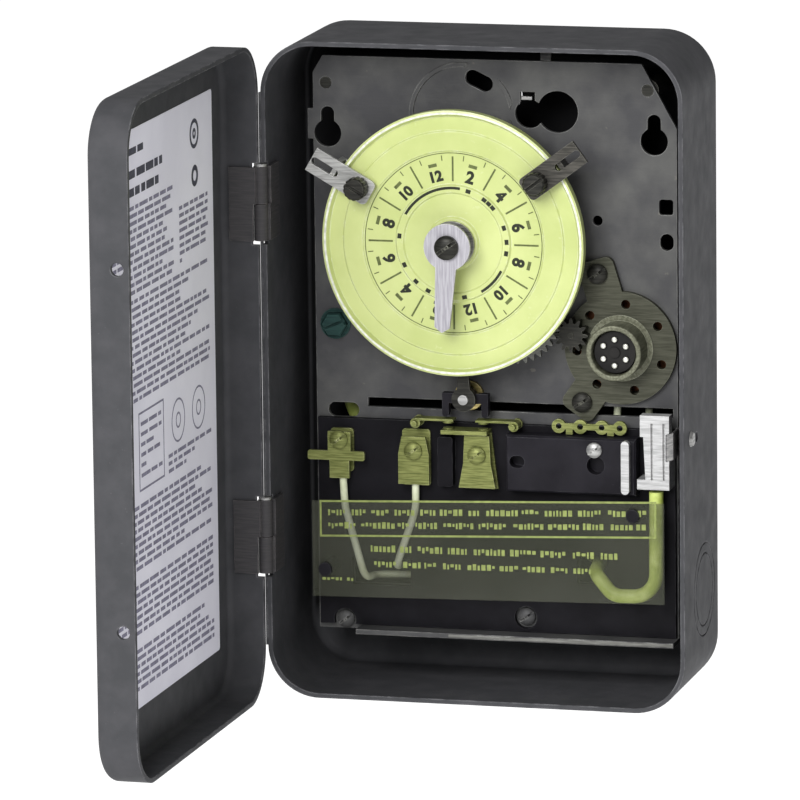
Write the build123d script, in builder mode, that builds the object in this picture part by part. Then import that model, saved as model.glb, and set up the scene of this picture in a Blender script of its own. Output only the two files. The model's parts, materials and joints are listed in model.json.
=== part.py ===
from build123d import *
import os
from math import acos, cos, pi, radians, sin, tan

# Mechanical 24-hour dial time switch in a drawn-steel wall box with a side-hinged door.
# Frame: millimetres, origin at the centre of the box's rear face, which lies on the wall.
# +X is to the right of the person in front, +Y goes into the wall, +Z is up.
# A "height" below is a distance out from the wall, so a point at height h has Y = -h.
# The box is drawn with its door standing open; turning the door by DOOR_OPEN closes it.

os.makedirs("parts", exist_ok=True)

# ---------------------------------------------------------------- driving dimensions
WIDTH = 127.0            # 5 in
HEIGHT = 197.0           # 7 3/4 in
BOX_DEPTH = 48.0
DOOR_DEPTH = 12.5
SHEET = 1.4
CORNER_R = 15.5
DOOR_OPEN = 91.0         # degrees from closed, at rest

HINGE_OFFSET = 0.3       # the hinge axis is this far outside the left wall
HINGE_X = -WIDTH / 2 - HINGE_OFFSET
HINGE_Z = 50.0           # hinge centres are this far above and below the middle
HINGE_LENGTH = 22.0
HINGE_PIN_R = 1.2
KNUCKLE_BORE_R = 1.25
KNUCKLE_R = 2.1
HINGE_STRIP = 1.0        # thickness of the hinge leaves
RIM_GAP = 0.3            # half of the gap between the box's rim and the door's rim

PLATE_BACK = 23.5
PLATE_SHEET = 1.5
PLATE_FACE = PLATE_BACK + PLATE_SHEET
PLATE_LEFT, PLATE_RIGHT = -53.8, 56.5
PLATE_BOTTOM, PLATE_TOP = -82.0, 91.0

DIAL_X, DIAL_Z = -8.0, 38.3
DIAL_R = 39.6
DIAL_FACE = 38.0
DIAL_BACK = 36.4
ARBOR_R = 3.0
SLEEVE_BORE_R = 3.06
SLEEVE_R = 5.0
HUB_BORE_R = 5.06
PULL_TRAVEL = 3.0

PRESSURE_ANGLE = radians(25)
BACKLASH = 0.16
DIAL_TEETH, IDLER_PINION_TEETH = 60, 10
FINE_MODULE = 0.8
IDLER_TEETH, MOTOR_PINION_TEETH = 36, 12
MOTOR_MODULE = 0.75
IDLER_DIRECTION = radians(-54.7)   # from the dial's axis, measured up from +X
MOTOR_X, MOTOR_Z = 39.6, 6.6
MOTOR_R = 16.9
OUTPUT_SHAFT_R = 0.9

LEVER_X, LEVER_Z = -6.7, -9.5
LEVER_SHAFT_R = 1.5

BOARD_FACE = PLATE_FACE + 2.0      # the dark terminal board lies on the plate
FILM_BACK = 34.8
FILM_THICKNESS = 0.5

KNOCKOUT_R, KNOCKOUT_CORE_R = 14.1, 11.1   # 3/4 in and 1/2 in trade sizes
GROOVE = 0.5

# ---------------------------------------------------------------- derived places
IDLER_DISTANCE = FINE_MODULE * (DIAL_TEETH + IDLER_PINION_TEETH) / 2
IDLER_X = DIAL_X + IDLER_DISTANCE * cos(IDLER_DIRECTION)
IDLER_Z = DIAL_Z + IDLER_DISTANCE * sin(IDLER_DIRECTION)
MOTOR_MESH = MOTOR_MODULE * (IDLER_TEETH + MOTOR_PINION_TEETH) / 2
TO_MOTOR = Vector(MOTOR_X - IDLER_X, MOTOR_Z - IDLER_Z)
MOTOR_DIRECTION = radians(Vector(1, 0).get_signed_angle(TO_MOTOR, Vector(0, 0, 1)))
OUTPUT_X = IDLER_X + MOTOR_MESH * cos(MOTOR_DIRECTION)
OUTPUT_Z = IDLER_Z + MOTOR_MESH * sin(MOTOR_DIRECTION)


def at(height):
    """A plane parallel to the wall, facing out; sketch x is X and sketch y is Z."""
    return Plane.XZ.offset(height)


def turned(x, z):
    """A half-plane through a wall-normal axis; sketch x is the radius, sketch y the height."""
    return Plane(origin=(x, 0, z), x_dir=(1, 0, 0), z_dir=(0, 0, -1))


def wall_normal(x, z):
    return Axis((x, 0, z), (0, -1, 0))


def spoke(angle, height):
    """A plane on the dial's axis; sketch x runs out along a radius at this angle."""
    a = radians(angle)
    return Plane(origin=(DIAL_X, -height, DIAL_Z), x_dir=(cos(a), 0, sin(a)), z_dir=(0, -1, 0))


def involute(angle):
    return tan(angle) - angle


def gear_outline(module, teeth, tooth_angle, x, z):
    """Points round a spur gear with involute flanks; one tooth is centred on tooth_angle."""
    pitch_r = module * teeth / 2
    base_r = pitch_r * cos(PRESSURE_ANGLE)
    tip_r = pitch_r + 0.9 * module
    root_r = pitch_r - 1.2 * module
    half_tooth = pi / (2 * teeth) - BACKLASH / (2 * pitch_r)
    start_r = max(base_r, root_r)
    flank = []
    for step in range(3):
        r = start_r + (tip_r - start_r) * step / 2
        at_radius = acos(min(1, base_r / r))
        flank.append((r, half_tooth + involute(PRESSURE_ANGLE) - involute(at_radius)))
    if root_r < start_r:
        flank.insert(0, (root_r, flank[0][1]))
    points = []
    for tooth in range(teeth):
        middle = tooth_angle + 2 * pi * tooth / teeth
        rising = [(r, middle - half) for r, half in flank]
        falling = [(r, middle + half) for r, half in reversed(flank)]
        points += [(x + r * cos(a), z + r * sin(a)) for r, a in rising + falling]
    return points


# The door's own plane: origin on the hinge axis, sketch x along the door's width,
# sketch y up, normal from the rim towards the door's outer panel.
OPEN = radians(DOOR_OPEN)
DOOR = Plane(
    origin=(HINGE_X, -BOX_DEPTH, 0),
    x_dir=(cos(OPEN), -sin(OPEN), 0),
    z_dir=(-sin(OPEN), -cos(OPEN), 0),
)
DOOR_MIDDLE = WIDTH / 2 + HINGE_OFFSET
PANEL_FACE = RIM_GAP + DOOR_DEPTH

# ================================================================ enclosure and door
NOTCH_DEPTH = 2.4

with BuildPart() as enclosure:
    with BuildSketch(at(0)):
        RectangleRounded(WIDTH, HEIGHT, CORNER_R)
    extrude(amount=BOX_DEPTH)
    fillet(enclosure.faces().sort_by(Axis.Y)[-1].edges(), 4)
    offset(amount=-SHEET, openings=enclosure.faces().sort_by(Axis.Y)[0])
    # notches in the left rim that the hinge leaves pass through
    with BuildSketch(at(BOX_DEPTH - NOTCH_DEPTH)):
        with Locations((-WIDTH / 2, HINGE_Z), (-WIDTH / 2, -HINGE_Z)):
            Rectangle(4 * SHEET, HINGE_LENGTH + 2.4)
    extrude(amount=NOTCH_DEPTH, mode=Mode.SUBTRACT)
    # keyhole at the top of the back, and two screw holes low down
    with BuildSketch(at(0)):
        with Locations((0, 77)):
            Circle(4.2)
        with Locations((0, 80.5)):
            SlotCenterToCenter(7, 4.6, rotation=90)
        with Locations((-45, -84), (45, -84)):
            Circle(2.6)
    extrude(amount=SHEET, mode=Mode.SUBTRACT)
    # knockout rings: one in the back, one in each side, two in the bottom
    for face, places in (
        (at(0), [(0, -45)]),
        (Plane.YZ.offset(WIDTH / 2 - GROOVE), [(-22, -66)]),
        (Plane.YZ.offset(-WIDTH / 2), [(-22, -66)]),
        (Plane.XY.offset(-HEIGHT / 2), [(-28, -22), (28, -22)]),
    ):
        with BuildSketch(face):
            with Locations(*places):
                for r in (KNOCKOUT_R, KNOCKOUT_CORE_R):
                    Circle(r)
                    Circle(r - GROOVE, mode=Mode.SUBTRACT)
        extrude(amount=GROOVE, mode=Mode.SUBTRACT)
    # holes in the right wall: the latch rivet's, and a seal-wire hole behind it
    with BuildSketch(Plane.YZ.offset(WIDTH / 2 - SHEET)):
        with Locations((-39.2, -17.4)):
            Circle(1.2)
        with Locations((-31.5, -18.2)):
            Circle(1.5)
    extrude(amount=SHEET, mode=Mode.SUBTRACT)
enclosure.part.label = "enclosure"
export_step(enclosure.part, "parts/enclosure.step")

with BuildPart() as door:
    with BuildSketch(DOOR.offset(RIM_GAP)):
        with Locations((DOOR_MIDDLE, 0)):
            RectangleRounded(WIDTH, HEIGHT, CORNER_R)
    extrude(amount=DOOR_DEPTH)
    panel = door.faces().sort_by(SortBy.AREA)[-2:].sort_by(Axis.X)[0]
    fillet(panel.edges(), 3.2)
    rim = door.faces().filter_by(GeomType.PLANE).sort_by(SortBy.AREA)[-2:].sort_by(Axis.X)[-1]
    offset(amount=-SHEET, openings=rim)
    with BuildSketch(DOOR.offset(RIM_GAP)):
        with Locations((HINGE_OFFSET, HINGE_Z), (HINGE_OFFSET, -HINGE_Z)):
            Rectangle(4 * SHEET, HINGE_LENGTH + 2.4)
    extrude(amount=NOTCH_DEPTH - RIM_GAP, mode=Mode.SUBTRACT)
    # two seal holes through the free flange
    free_side = DOOR.from_local_coords((HINGE_OFFSET + WIDTH - 2 * SHEET, 0, RIM_GAP + 3.6))
    with BuildSketch(Plane(origin=free_side, x_dir=(0, 0, 1), z_dir=DOOR.x_dir)):
        with Locations((52, 0), (-52, 0)):
            Circle(1.9)
    extrude(amount=3 * SHEET, mode=Mode.SUBTRACT)
door.part.label = "door"
export_step(door.part, "parts/door.step")

LABEL_THICKNESS = 0.15
with BuildPart() as door_label:
    with BuildSketch(DOOR.offset(PANEL_FACE - SHEET - LABEL_THICKNESS)):
        with Locations((DOOR_MIDDLE, 1.5)):
            RectangleRounded(105, 168, 1)
    extrude(amount=LABEL_THICKNESS)
door_label.part.label = "door_label"
export_step(door_label.part, "parts/door_label.step")

HALF_KNUCKLE = HINGE_LENGTH / 2 - 0.1
WEB = 0.8                # distance of each leaf's web from the hinge axis
LEAF_START = 1.7         # beside the other leaf's knuckle, a leaf starts this far from the axis
LEAF_WIDTH = 9.0
BOX_LEAF = HINGE_OFFSET + SHEET    # the box's leaf lies on the inside of the left wall

with BuildPart() as hinge_leaves_box:
    for z in (HINGE_Z, -HINGE_Z):
        with BuildSketch(Plane.XY.offset(z - HINGE_LENGTH / 2)):
            with Locations((HINGE_X, -BOX_DEPTH)):
                Circle(KNUCKLE_R)
                with Locations((0, WEB)):
                    Rectangle(BOX_LEAF + HINGE_STRIP, HINGE_STRIP, align=(Align.MIN, Align.MIN))
                with Locations((BOX_LEAF, WEB)):
                    Rectangle(HINGE_STRIP, LEAF_WIDTH, align=(Align.MIN, Align.MIN))
        extrude(amount=HALF_KNUCKLE)
        with BuildSketch(Plane.XY.offset(z - HINGE_LENGTH / 2)):
            with Locations((HINGE_X + BOX_LEAF, -BOX_DEPTH + LEAF_START)):
                Rectangle(HINGE_STRIP, LEAF_WIDTH, align=(Align.MIN, Align.MIN))
        extrude(amount=HINGE_LENGTH)
        with BuildSketch(Plane.XY.offset(z - HINGE_LENGTH / 2)):
            with Locations((HINGE_X, -BOX_DEPTH)):
                Circle(KNUCKLE_BORE_R)
        extrude(amount=HINGE_LENGTH, mode=Mode.SUBTRACT)
hinge_leaves_box.part.label = "hinge_leaves_box"
export_step(hinge_leaves_box.part, "parts/hinge_leaves_box.step")


def door_side(z):
    """A horizontal plane on the hinge axis; sketch x is the door's width, y its depth."""
    return Plane(origin=(HINGE_X, -BOX_DEPTH, z), x_dir=DOOR.x_dir, z_dir=(0, 0, 1))


DOOR_LEAF = HINGE_OFFSET + SHEET   # the door's leaf lies on the inside of its hinge flange
with BuildPart() as hinge_leaves_door:
    for z in (HINGE_Z, -HINGE_Z):
        with BuildSketch(door_side(z + 0.1)):
            Circle(KNUCKLE_R)
            with Locations((0, -WEB)):
                Rectangle(DOOR_LEAF + HINGE_STRIP, HINGE_STRIP, align=(Align.MIN, Align.MAX))
            with Locations((DOOR_LEAF, -WEB)):
                Rectangle(HINGE_STRIP, LEAF_WIDTH - LEAF_START, align=(Align.MIN, Align.MAX))
        extrude(amount=HALF_KNUCKLE)
        with BuildSketch(door_side(z - HINGE_LENGTH / 2)):
            with Locations((DOOR_LEAF, -LEAF_START)):
                Rectangle(HINGE_STRIP, LEAF_WIDTH - LEAF_START, align=(Align.MIN, Align.MAX))
        extrude(amount=HINGE_LENGTH)
        with BuildSketch(door_side(z)):
            Circle(KNUCKLE_BORE_R)
        extrude(amount=HINGE_LENGTH, mode=Mode.SUBTRACT)
hinge_leaves_door.part.label = "hinge_leaves_door"
export_step(hinge_leaves_door.part, "parts/hinge_leaves_door.step")

with BuildPart() as hinge_pins:
    for z in (HINGE_Z, -HINGE_Z):
        with BuildSketch(Plane.XY.offset(z - HINGE_LENGTH / 2)):
            with Locations((HINGE_X, -BOX_DEPTH)):
                Circle(HINGE_PIN_R)
        extrude(amount=HINGE_LENGTH + 0.1)
        with BuildSketch(Plane.XY.offset(z + HINGE_LENGTH / 2 + 0.1)):
            with Locations((HINGE_X, -BOX_DEPTH)):
                Circle(KNUCKLE_R - 0.2)
        extrude(amount=0.8)
hinge_pins.part.label = "hinge_pins"
export_step(hinge_pins.part, "parts/hinge_pins.step")

# A leaf spring inside the right wall bears on the closed door's flange.
LATCH_HEIGHT, LATCH_Z = 39.2, -17.4
LATCH_BEND = 43.2
LATCH_X = 60.4
with BuildPart() as latch_spring:
    with BuildSketch(Plane.XY.offset(LATCH_Z - 4)):
        with BuildLine():
            Polyline(
                (LATCH_X, -34), (LATCH_X, -51), (LATCH_X - 1, -54.4), (LATCH_X - 0.6, -54.6),
                (LATCH_X + 0.5, -51.1), (LATCH_X + 0.5, -43), (WIDTH / 2 - SHEET - 0.4, -42),
                (WIDTH / 2 - SHEET - 0.4, -34), close=True,
            )
        make_face()
        # a round rib across the strip, on the line that it bends about
        with Locations((LATCH_X + 0.25, -LATCH_BEND)):
            Circle(0.7)
    extrude(amount=8)
    with BuildSketch(Plane.YZ.offset(LATCH_X - 1)):
        with Locations((-LATCH_HEIGHT, LATCH_Z)):
            Circle(1.6)
    extrude(amount=4, mode=Mode.SUBTRACT)
latch_spring.part.label = "latch_spring"
export_step(latch_spring.part, "parts/latch_spring.step")

with BuildPart() as latch_rivet:
    with BuildSketch(Plane.YZ.offset(LATCH_X - 1.4)):
        with Locations((-LATCH_HEIGHT, LATCH_Z)):
            Circle(2.4)
    extrude(amount=0.9)
    with BuildSketch(Plane.YZ.offset(LATCH_X - 1)):
        with Locations((-LATCH_HEIGHT, LATCH_Z)):
            Circle(1.2)
    extrude(amount=WIDTH / 2 + 0.5 - LATCH_X + 1)
    with BuildSketch(Plane.YZ.offset(WIDTH / 2)):
        with Locations((-LATCH_HEIGHT, LATCH_Z)):
            Circle(2.3)
    extrude(amount=0.9, taper=25)
latch_rivet.part.label = "latch_rivet"
export_step(latch_rivet.part, "parts/latch_rivet.step")

# ================================================================ mechanism plate
POST_R = 3.0
PIN_R = 1.7
LOW_SCREWS = [(-45.4, -79.0), (10.3, -75.9)]
LOW_HEAD_R = 2.6
TOP_PINS = [(-49.9, 82.9), (47.8, 83.2)]
KEYHOLES = [(-49.4, 67.8), (49.7, 68.1)]
KEYHOLE_R = 4.1
ACCESS_HOLE, ACCESS_R = (20.6, 76.1), 6.2
SMALL_HOLE, SMALL_R = (12.1, 75.3), 4.3
CORNER_X, CORNER_Z = 46.0, 72.0    # ends of the sloping top right corner
TAB_X, TAB_Z, TAB_WIDTH = 11.6, 79.6, 3.2   # the locating tab
TOP_SLOT = (-3.1, 84.7)
SQUARE_HOLE = (53.2, 48.7)
OVAL_HOLE = (53.4, 38.3)
SIDE_HOLE = (32.5, 44.1)
MOTOR_EARS = {107.0: 23.0, 235.0: 20.3}   # degrees round the motor's axis, and each screw's radius
EAR_WIDTH, EAR_MARGIN = 11.0, 4.2
WINDOW_X, WINDOW_Z = -34.0, -64.0  # lead window behind the film
EARTH_WINDOW_X, EARTH_WINDOW_Z = 31.0, -60.5


def motor_polar(radius, degrees):
    return (MOTOR_X + radius * cos(radians(degrees)), MOTOR_Z + radius * sin(radians(degrees)))


MOTOR_SCREWS = [motor_polar(radius, ear) for ear, radius in MOTOR_EARS.items()]
EARTH_X, EARTH_Z = -47.7, 10.6
CAN_R = 15.2

with BuildPart() as plate_posts:
    with BuildSketch(at(SHEET)):
        with Locations(*LOW_SCREWS, *TOP_PINS):
            Circle(POST_R)
    extrude(amount=PLATE_BACK - SHEET)
    with BuildSketch(at(PLATE_BACK)):
        with Locations(*TOP_PINS):
            Circle(PIN_R)
    extrude(amount=PLATE_SHEET)
    with BuildSketch(at(PLATE_BACK - 12)):
        with Locations(*LOW_SCREWS):
            Circle(1.5)
    extrude(amount=12, mode=Mode.SUBTRACT)
plate_posts.part.label = "plate_posts"
export_step(plate_posts.part, "parts/plate_posts.step")

with BuildPart() as mechanism_plate:
    with BuildSketch(at(PLATE_BACK)):
        with BuildLine():
            Polyline(
                (PLATE_LEFT, PLATE_BOTTOM), (PLATE_RIGHT, PLATE_BOTTOM), (PLATE_RIGHT, CORNER_Z),
                (CORNER_X, PLATE_TOP), (PLATE_LEFT + 3, PLATE_TOP), (PLATE_LEFT, PLATE_TOP - 5), close=True,
            )
        make_face()
        with Locations((PLATE_LEFT, 70.5)):
            Rectangle(3.4, 9)
        # hanging keyholes
        with Locations(*KEYHOLES):
            Circle(KEYHOLE_R, mode=Mode.SUBTRACT)
            with Locations((0, 3)):
                SlotCenterToCenter(6, 4, rotation=90, mode=Mode.SUBTRACT)
        # access hole with a smaller one run into it, and the locating tab's slot
        with Locations(ACCESS_HOLE):
            Circle(ACCESS_R, mode=Mode.SUBTRACT)
        with Locations(SMALL_HOLE):
            Circle(SMALL_R, mode=Mode.SUBTRACT)
        with Locations((TAB_X, TAB_Z + 0.5)):
            Rectangle(TAB_WIDTH + 1.2, 3.4, mode=Mode.SUBTRACT)
        with Locations(TOP_SLOT):
            SlotCenterToCenter(4.2, 4.6, rotation=-25, mode=Mode.SUBTRACT)
        with Locations(SQUARE_HOLE):
            RectangleRounded(4.2, 4.6, 0.8, mode=Mode.SUBTRACT)
        with Locations(OVAL_HOLE):
            SlotOverall(5, 4, rotation=90, mode=Mode.SUBTRACT)
        with Locations(SIDE_HOLE):
            Circle(1.5, mode=Mode.SUBTRACT)
        with Locations(*TOP_PINS):
            Circle(PIN_R + 0.1, mode=Mode.SUBTRACT)
        with Locations(*LOW_SCREWS, (EARTH_X, EARTH_Z)):
            Circle(1.7, mode=Mode.SUBTRACT)
        # gap below the clockwork section, and an oval beside it
        with Locations(((-38 + 55) / 2, -12.8)):
            Rectangle(55 + 38, 2.8, mode=Mode.SUBTRACT)
        with Locations((-45.5, -15.4)):
            SlotCenterToCenter(5, 4.4, mode=Mode.SUBTRACT)
        # lead windows
        with Locations((WINDOW_X, WINDOW_Z)):
            Rectangle(18, 8, mode=Mode.SUBTRACT)
        with Locations((EARTH_WINDOW_X, EARTH_WINDOW_Z)):
            Rectangle(10, 9, mode=Mode.SUBTRACT)
        # motor can, motor screws, arbor, idler stud and lever shaft
        with Locations((MOTOR_X, MOTOR_Z)):
            Circle(CAN_R + 0.3, mode=Mode.SUBTRACT)
        with Locations(*MOTOR_SCREWS):
            Circle(1.55, mode=Mode.SUBTRACT)
        with Locations((DIAL_X, DIAL_Z)):
            Circle(ARBOR_R, mode=Mode.SUBTRACT)
        with Locations((IDLER_X, IDLER_Z)):
            Circle(1.2, mode=Mode.SUBTRACT)
        with Locations((LEVER_X, LEVER_Z)):
            Circle(3.0, mode=Mode.SUBTRACT)
    extrude(amount=PLATE_SHEET)
    # forward lip along the bottom
    with BuildSketch(at(PLATE_FACE)):
        with Locations((PLATE_RIGHT, PLATE_BOTTOM)):
            Rectangle(97, PLATE_SHEET, align=(Align.MAX, Align.MIN))
    extrude(amount=8)
    # round embossed boss above the dial
    with BuildSketch(at(PLATE_FACE)):
        with Locations((-8.4, 74)):
            Circle(16)
            Circle(14.8, mode=Mode.SUBTRACT)
        with Locations((-8.4, 64)):
            Rectangle(40, 14, mode=Mode.SUBTRACT)
        with Locations(SMALL_HOLE, TOP_SLOT):
            Circle(6, mode=Mode.SUBTRACT)
    extrude(amount=0.5)
mechanism_plate.part.label = "mechanism_plate"
export_step(mechanism_plate.part, "parts/mechanism_plate.step")


def slotted_screws(places, seat, head_r, head_h, shank_r, shank_length):
    """Dome-headed slotted screws whose heads rest at the height called seat."""
    with BuildPart() as screws:
        for x, z in places:
            with BuildSketch(turned(x, z)):
                with BuildLine():
                    Polyline(
                        (0, seat + head_h), (0, seat - shank_length), (shank_r, seat - shank_length),
                        (shank_r, seat), (head_r, seat), (head_r, seat + head_h / 2),
                    )
                    crown = (head_r * 0.6, seat + head_h * 0.9)
                    ThreePointArc((head_r, seat + head_h / 2), crown, (0, seat + head_h))
                make_face()
            revolve(axis=wall_normal(x, z))
        with BuildSketch(at(seat + head_h)):
            with Locations(*places):
                Rectangle(3 * head_r, 0.25 * head_r, rotation=35)
        extrude(amount=-head_h / 2, mode=Mode.SUBTRACT)
    return screws.part


plate_screws = slotted_screws(LOW_SCREWS, PLATE_FACE, LOW_HEAD_R, 2.0, 1.5, 11)
plate_screws.label = "plate_screws"
export_step(plate_screws, "parts/plate_screws.step")

# A spring-steel tab on the back of the box locates the plate in its slot.
with BuildPart() as locating_tab:
    with BuildSketch(Plane.YZ.offset(TAB_X - TAB_WIDTH / 2)):
        with BuildLine():
            Polyline(
                (-SHEET, 92), (-SHEET, TAB_Z), (-26.2, TAB_Z), (-26.2, TAB_Z + 1), (-SHEET - 1, TAB_Z + 1),
                (-SHEET - 1, 92), close=True,
            )
        make_face()
    extrude(amount=TAB_WIDTH)
locating_tab.part.label = "locating_tab"
export_step(locating_tab.part, "parts/locating_tab.step")

with BuildPart() as ground_screw:
    with BuildSketch(at(PLATE_FACE)):
        with Locations((EARTH_X, EARTH_Z)):
            Circle(4.6)
    extrude(amount=0.6)
    with BuildSketch(at(PLATE_FACE + 0.6)):
        with Locations((EARTH_X, EARTH_Z)):
            RegularPolygon(4.0, 6)
    extrude(amount=2.6)
    chamfer(ground_screw.faces().sort_by(Axis.Y)[0].edges(), 0.5)
    with BuildSketch(at(PLATE_FACE + 3.2)):
        with Locations((EARTH_X, EARTH_Z)):
            Rectangle(12, 0.9, rotation=25)
    extrude(amount=-1.0, mode=Mode.SUBTRACT)
    with BuildSketch(at(PLATE_BACK - 9)):
        with Locations((EARTH_X, EARTH_Z)):
            Circle(1.65)
    extrude(amount=9 + PLATE_SHEET)
    with BuildSketch(at(PLATE_BACK - 2.6)):
        with Locations((EARTH_X, EARTH_Z)):
            RegularPolygon(3.6, 6)
    extrude(amount=2.6)
ground_screw.part.label = "ground_screw"
export_step(ground_screw.part, "parts/ground_screw.step")

# ================================================================ motor
CUP_R = 8.3
with BuildPart() as motor_front_plate:
    with BuildSketch(at(PLATE_FACE)):
        with Locations((MOTOR_X, MOTOR_Z)):
            Circle(MOTOR_R)
        for ear, radius in MOTOR_EARS.items():
            with Locations(Location((*motor_polar((radius + EAR_MARGIN) / 2, ear), 0), (0, 0, ear))):
                RectangleRounded(radius + EAR_MARGIN, EAR_WIDTH, 2.5)
        with Locations((MOTOR_X, MOTOR_Z)):
            Circle(2.0, mode=Mode.SUBTRACT)
            with PolarLocations(13.2, 7, start_angle=31.3):
                Circle(1.4, mode=Mode.SUBTRACT)
        with Locations((OUTPUT_X, OUTPUT_Z)):
            Circle(OUTPUT_SHAFT_R + 0.06, mode=Mode.SUBTRACT)
        with Locations(*MOTOR_SCREWS):
            Circle(1.55, mode=Mode.SUBTRACT)
    extrude(amount=2.0)
motor_front_plate.part.label = "motor_front_plate"
export_step(motor_front_plate.part, "parts/motor_front_plate.step")

with BuildPart() as motor_can:
    with BuildSketch(at(5)):
        with Locations((MOTOR_X, MOTOR_Z)):
            Circle(CAN_R)
    extrude(amount=PLATE_FACE - 5)
    fillet(motor_can.faces().sort_by(Axis.Y)[-1].edges(), 2)
    offset(amount=-0.8, openings=motor_can.faces().sort_by(Axis.Y)[0])
motor_can.part.label = "motor_can"
export_step(motor_can.part, "parts/motor_can.step")

with BuildPart() as motor_coil:
    with BuildSketch(turned(MOTOR_X, MOTOR_Z)):
        with BuildLine():
            Polyline(
                (8, 7), (14.2, 7), (14.2, 8.2), (13.2, 8.2), (13.2, 19.2), (14.2, 19.2),
                (14.2, 20.4), (8, 20.4), close=True,
            )
        make_face()
    revolve(axis=wall_normal(MOTOR_X, MOTOR_Z))
motor_coil.part.label = "motor_coil"
export_step(motor_coil.part, "parts/motor_coil.step")

# The rotor runs in a round cup that stands proud of the motor's face.
CUP_BASE, CUP_FRONT = PLATE_FACE + 2, 36.0
with BuildPart() as rotor_cup:
    with BuildSketch(turned(MOTOR_X, MOTOR_Z)):
        with BuildLine():
            Polyline(
                (1.06, CUP_BASE), (9.9, CUP_BASE), (9.9, CUP_BASE + 0.3), (CUP_R, CUP_BASE + 0.3),
                (CUP_R, CUP_FRONT), (6.7, CUP_FRONT), (6.7, CUP_BASE + 1.6),
                (1.06, CUP_BASE + 1.6), close=True,
            )
        make_face()
    revolve(axis=wall_normal(MOTOR_X, MOTOR_Z))
    lip = rotor_cup.faces().sort_by(Axis.Y)[0]
    fillet(lip.edges(), 0.5)
rotor_cup.part.label = "rotor_cup"
export_step(rotor_cup.part, "parts/rotor_cup.step")

ROTOR_FACE = 34.0
with BuildPart() as motor_rotor:
    with BuildSketch(turned(MOTOR_X, MOTOR_Z)):
        with BuildLine():
            Polyline(
                (0, 21.5), (1, 21.5), (1, 30), (6.2, 30), (6.2, ROTOR_FACE), (1.6, ROTOR_FACE),
                (1.6, ROTOR_FACE + 0.6), (0, ROTOR_FACE + 0.6), close=True,
            )
        make_face()
    revolve(axis=wall_normal(MOTOR_X, MOTOR_Z))
    with BuildSketch(at(ROTOR_FACE)):
        with Locations((MOTOR_X, MOTOR_Z)):
            with PolarLocations(3.9, 6, start_angle=30):
                Circle(0.95)
    extrude(amount=0.6)
motor_rotor.part.label = "motor_rotor"
export_step(motor_rotor.part, "parts/motor_rotor.step")

motor_screws = slotted_screws(MOTOR_SCREWS, PLATE_FACE + 2, 3.0, 1.9, 1.5, 7)
motor_screws.label = "motor_screws"
export_step(motor_screws, "parts/motor_screws.step")

# ================================================================ gear train
TO_DIAL = IDLER_DIRECTION + pi
with BuildPart() as motor_pinion:
    tooth = MOTOR_DIRECTION + pi + pi / MOTOR_PINION_TEETH
    with BuildSketch(at(PLATE_FACE + 2.6)):
        with BuildLine():
            Polyline(*gear_outline(MOTOR_MODULE, MOTOR_PINION_TEETH, tooth, OUTPUT_X, OUTPUT_Z), close=True)
        make_face()
    extrude(amount=3.2)
    with BuildSketch(at(PLATE_FACE + 0.1)):
        with Locations((OUTPUT_X, OUTPUT_Z)):
            Circle(OUTPUT_SHAFT_R)
    extrude(amount=6)
motor_pinion.part.label = "motor_pinion"
export_step(motor_pinion.part, "parts/motor_pinion.step")

IDLER_BACK = 28.5
with BuildPart() as idler_stud:
    with BuildSketch(turned(IDLER_X, IDLER_Z)):
        with BuildLine():
            Polyline(
                (0, 21.5), (2.4, 21.5), (2.4, PLATE_BACK), (1.2, PLATE_BACK), (1.2, PLATE_FACE),
                (2.6, PLATE_FACE), (2.6, IDLER_BACK - 0.3), (1.2, IDLER_BACK - 0.3), (1.2, 34.0),
                (0, 34.0), close=True,
            )
        make_face()
    revolve(axis=wall_normal(IDLER_X, IDLER_Z))
idler_stud.part.label = "idler_stud"
export_step(idler_stud.part, "parts/idler_stud.step")

with BuildPart() as idler_gear:
    with BuildSketch(at(IDLER_BACK)):
        with BuildLine():
            Polyline(
                *gear_outline(MOTOR_MODULE, IDLER_TEETH, MOTOR_DIRECTION, IDLER_X, IDLER_Z), close=True,
            )
        make_face()
        with Locations((IDLER_X, IDLER_Z)):
            Circle(1.26, mode=Mode.SUBTRACT)
            with PolarLocations(8.4, 3):
                Circle(2.6, mode=Mode.SUBTRACT)
    extrude(amount=1.5)
idler_gear.part.label = "idler_gear"
export_step(idler_gear.part, "parts/idler_gear.step")

with BuildPart() as idler_pinion:
    tooth = TO_DIAL + pi / IDLER_PINION_TEETH
    with BuildSketch(at(IDLER_BACK + 1.5)):
        with BuildLine():
            Polyline(*gear_outline(FINE_MODULE, IDLER_PINION_TEETH, tooth, IDLER_X, IDLER_Z), close=True)
        make_face()
        with Locations((IDLER_X, IDLER_Z)):
            Circle(1.26, mode=Mode.SUBTRACT)
    extrude(amount=3.4)
idler_pinion.part.label = "idler_pinion"
export_step(idler_pinion.part, "parts/idler_pinion.step")

# ================================================================ dial and its arbor
GEAR_BACK = 31.0
POINTER_BACK = 45.0
SLEEVE_BACK = 28.2
SLEEVE_FRONT = 41.0
with BuildPart() as dial_arbor:
    with BuildSketch(turned(DIAL_X, DIAL_Z)):
        with BuildLine():
            Polyline(
                (0, 15), (2.6, 15), (2.6, PLATE_BACK), (ARBOR_R, PLATE_BACK), (ARBOR_R, PLATE_FACE),
                (7, PLATE_FACE), (7, SLEEVE_BACK - 0.2), (ARBOR_R, SLEEVE_BACK - 0.2),
                (ARBOR_R, POINTER_BACK), (1.6, POINTER_BACK), (1.6, POINTER_BACK - 8),
                (0, POINTER_BACK - 8), close=True,
            )
        make_face()
    revolve(axis=wall_normal(DIAL_X, DIAL_Z))
dial_arbor.part.label = "dial_arbor"
export_step(dial_arbor.part, "parts/dial_arbor.step")

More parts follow.
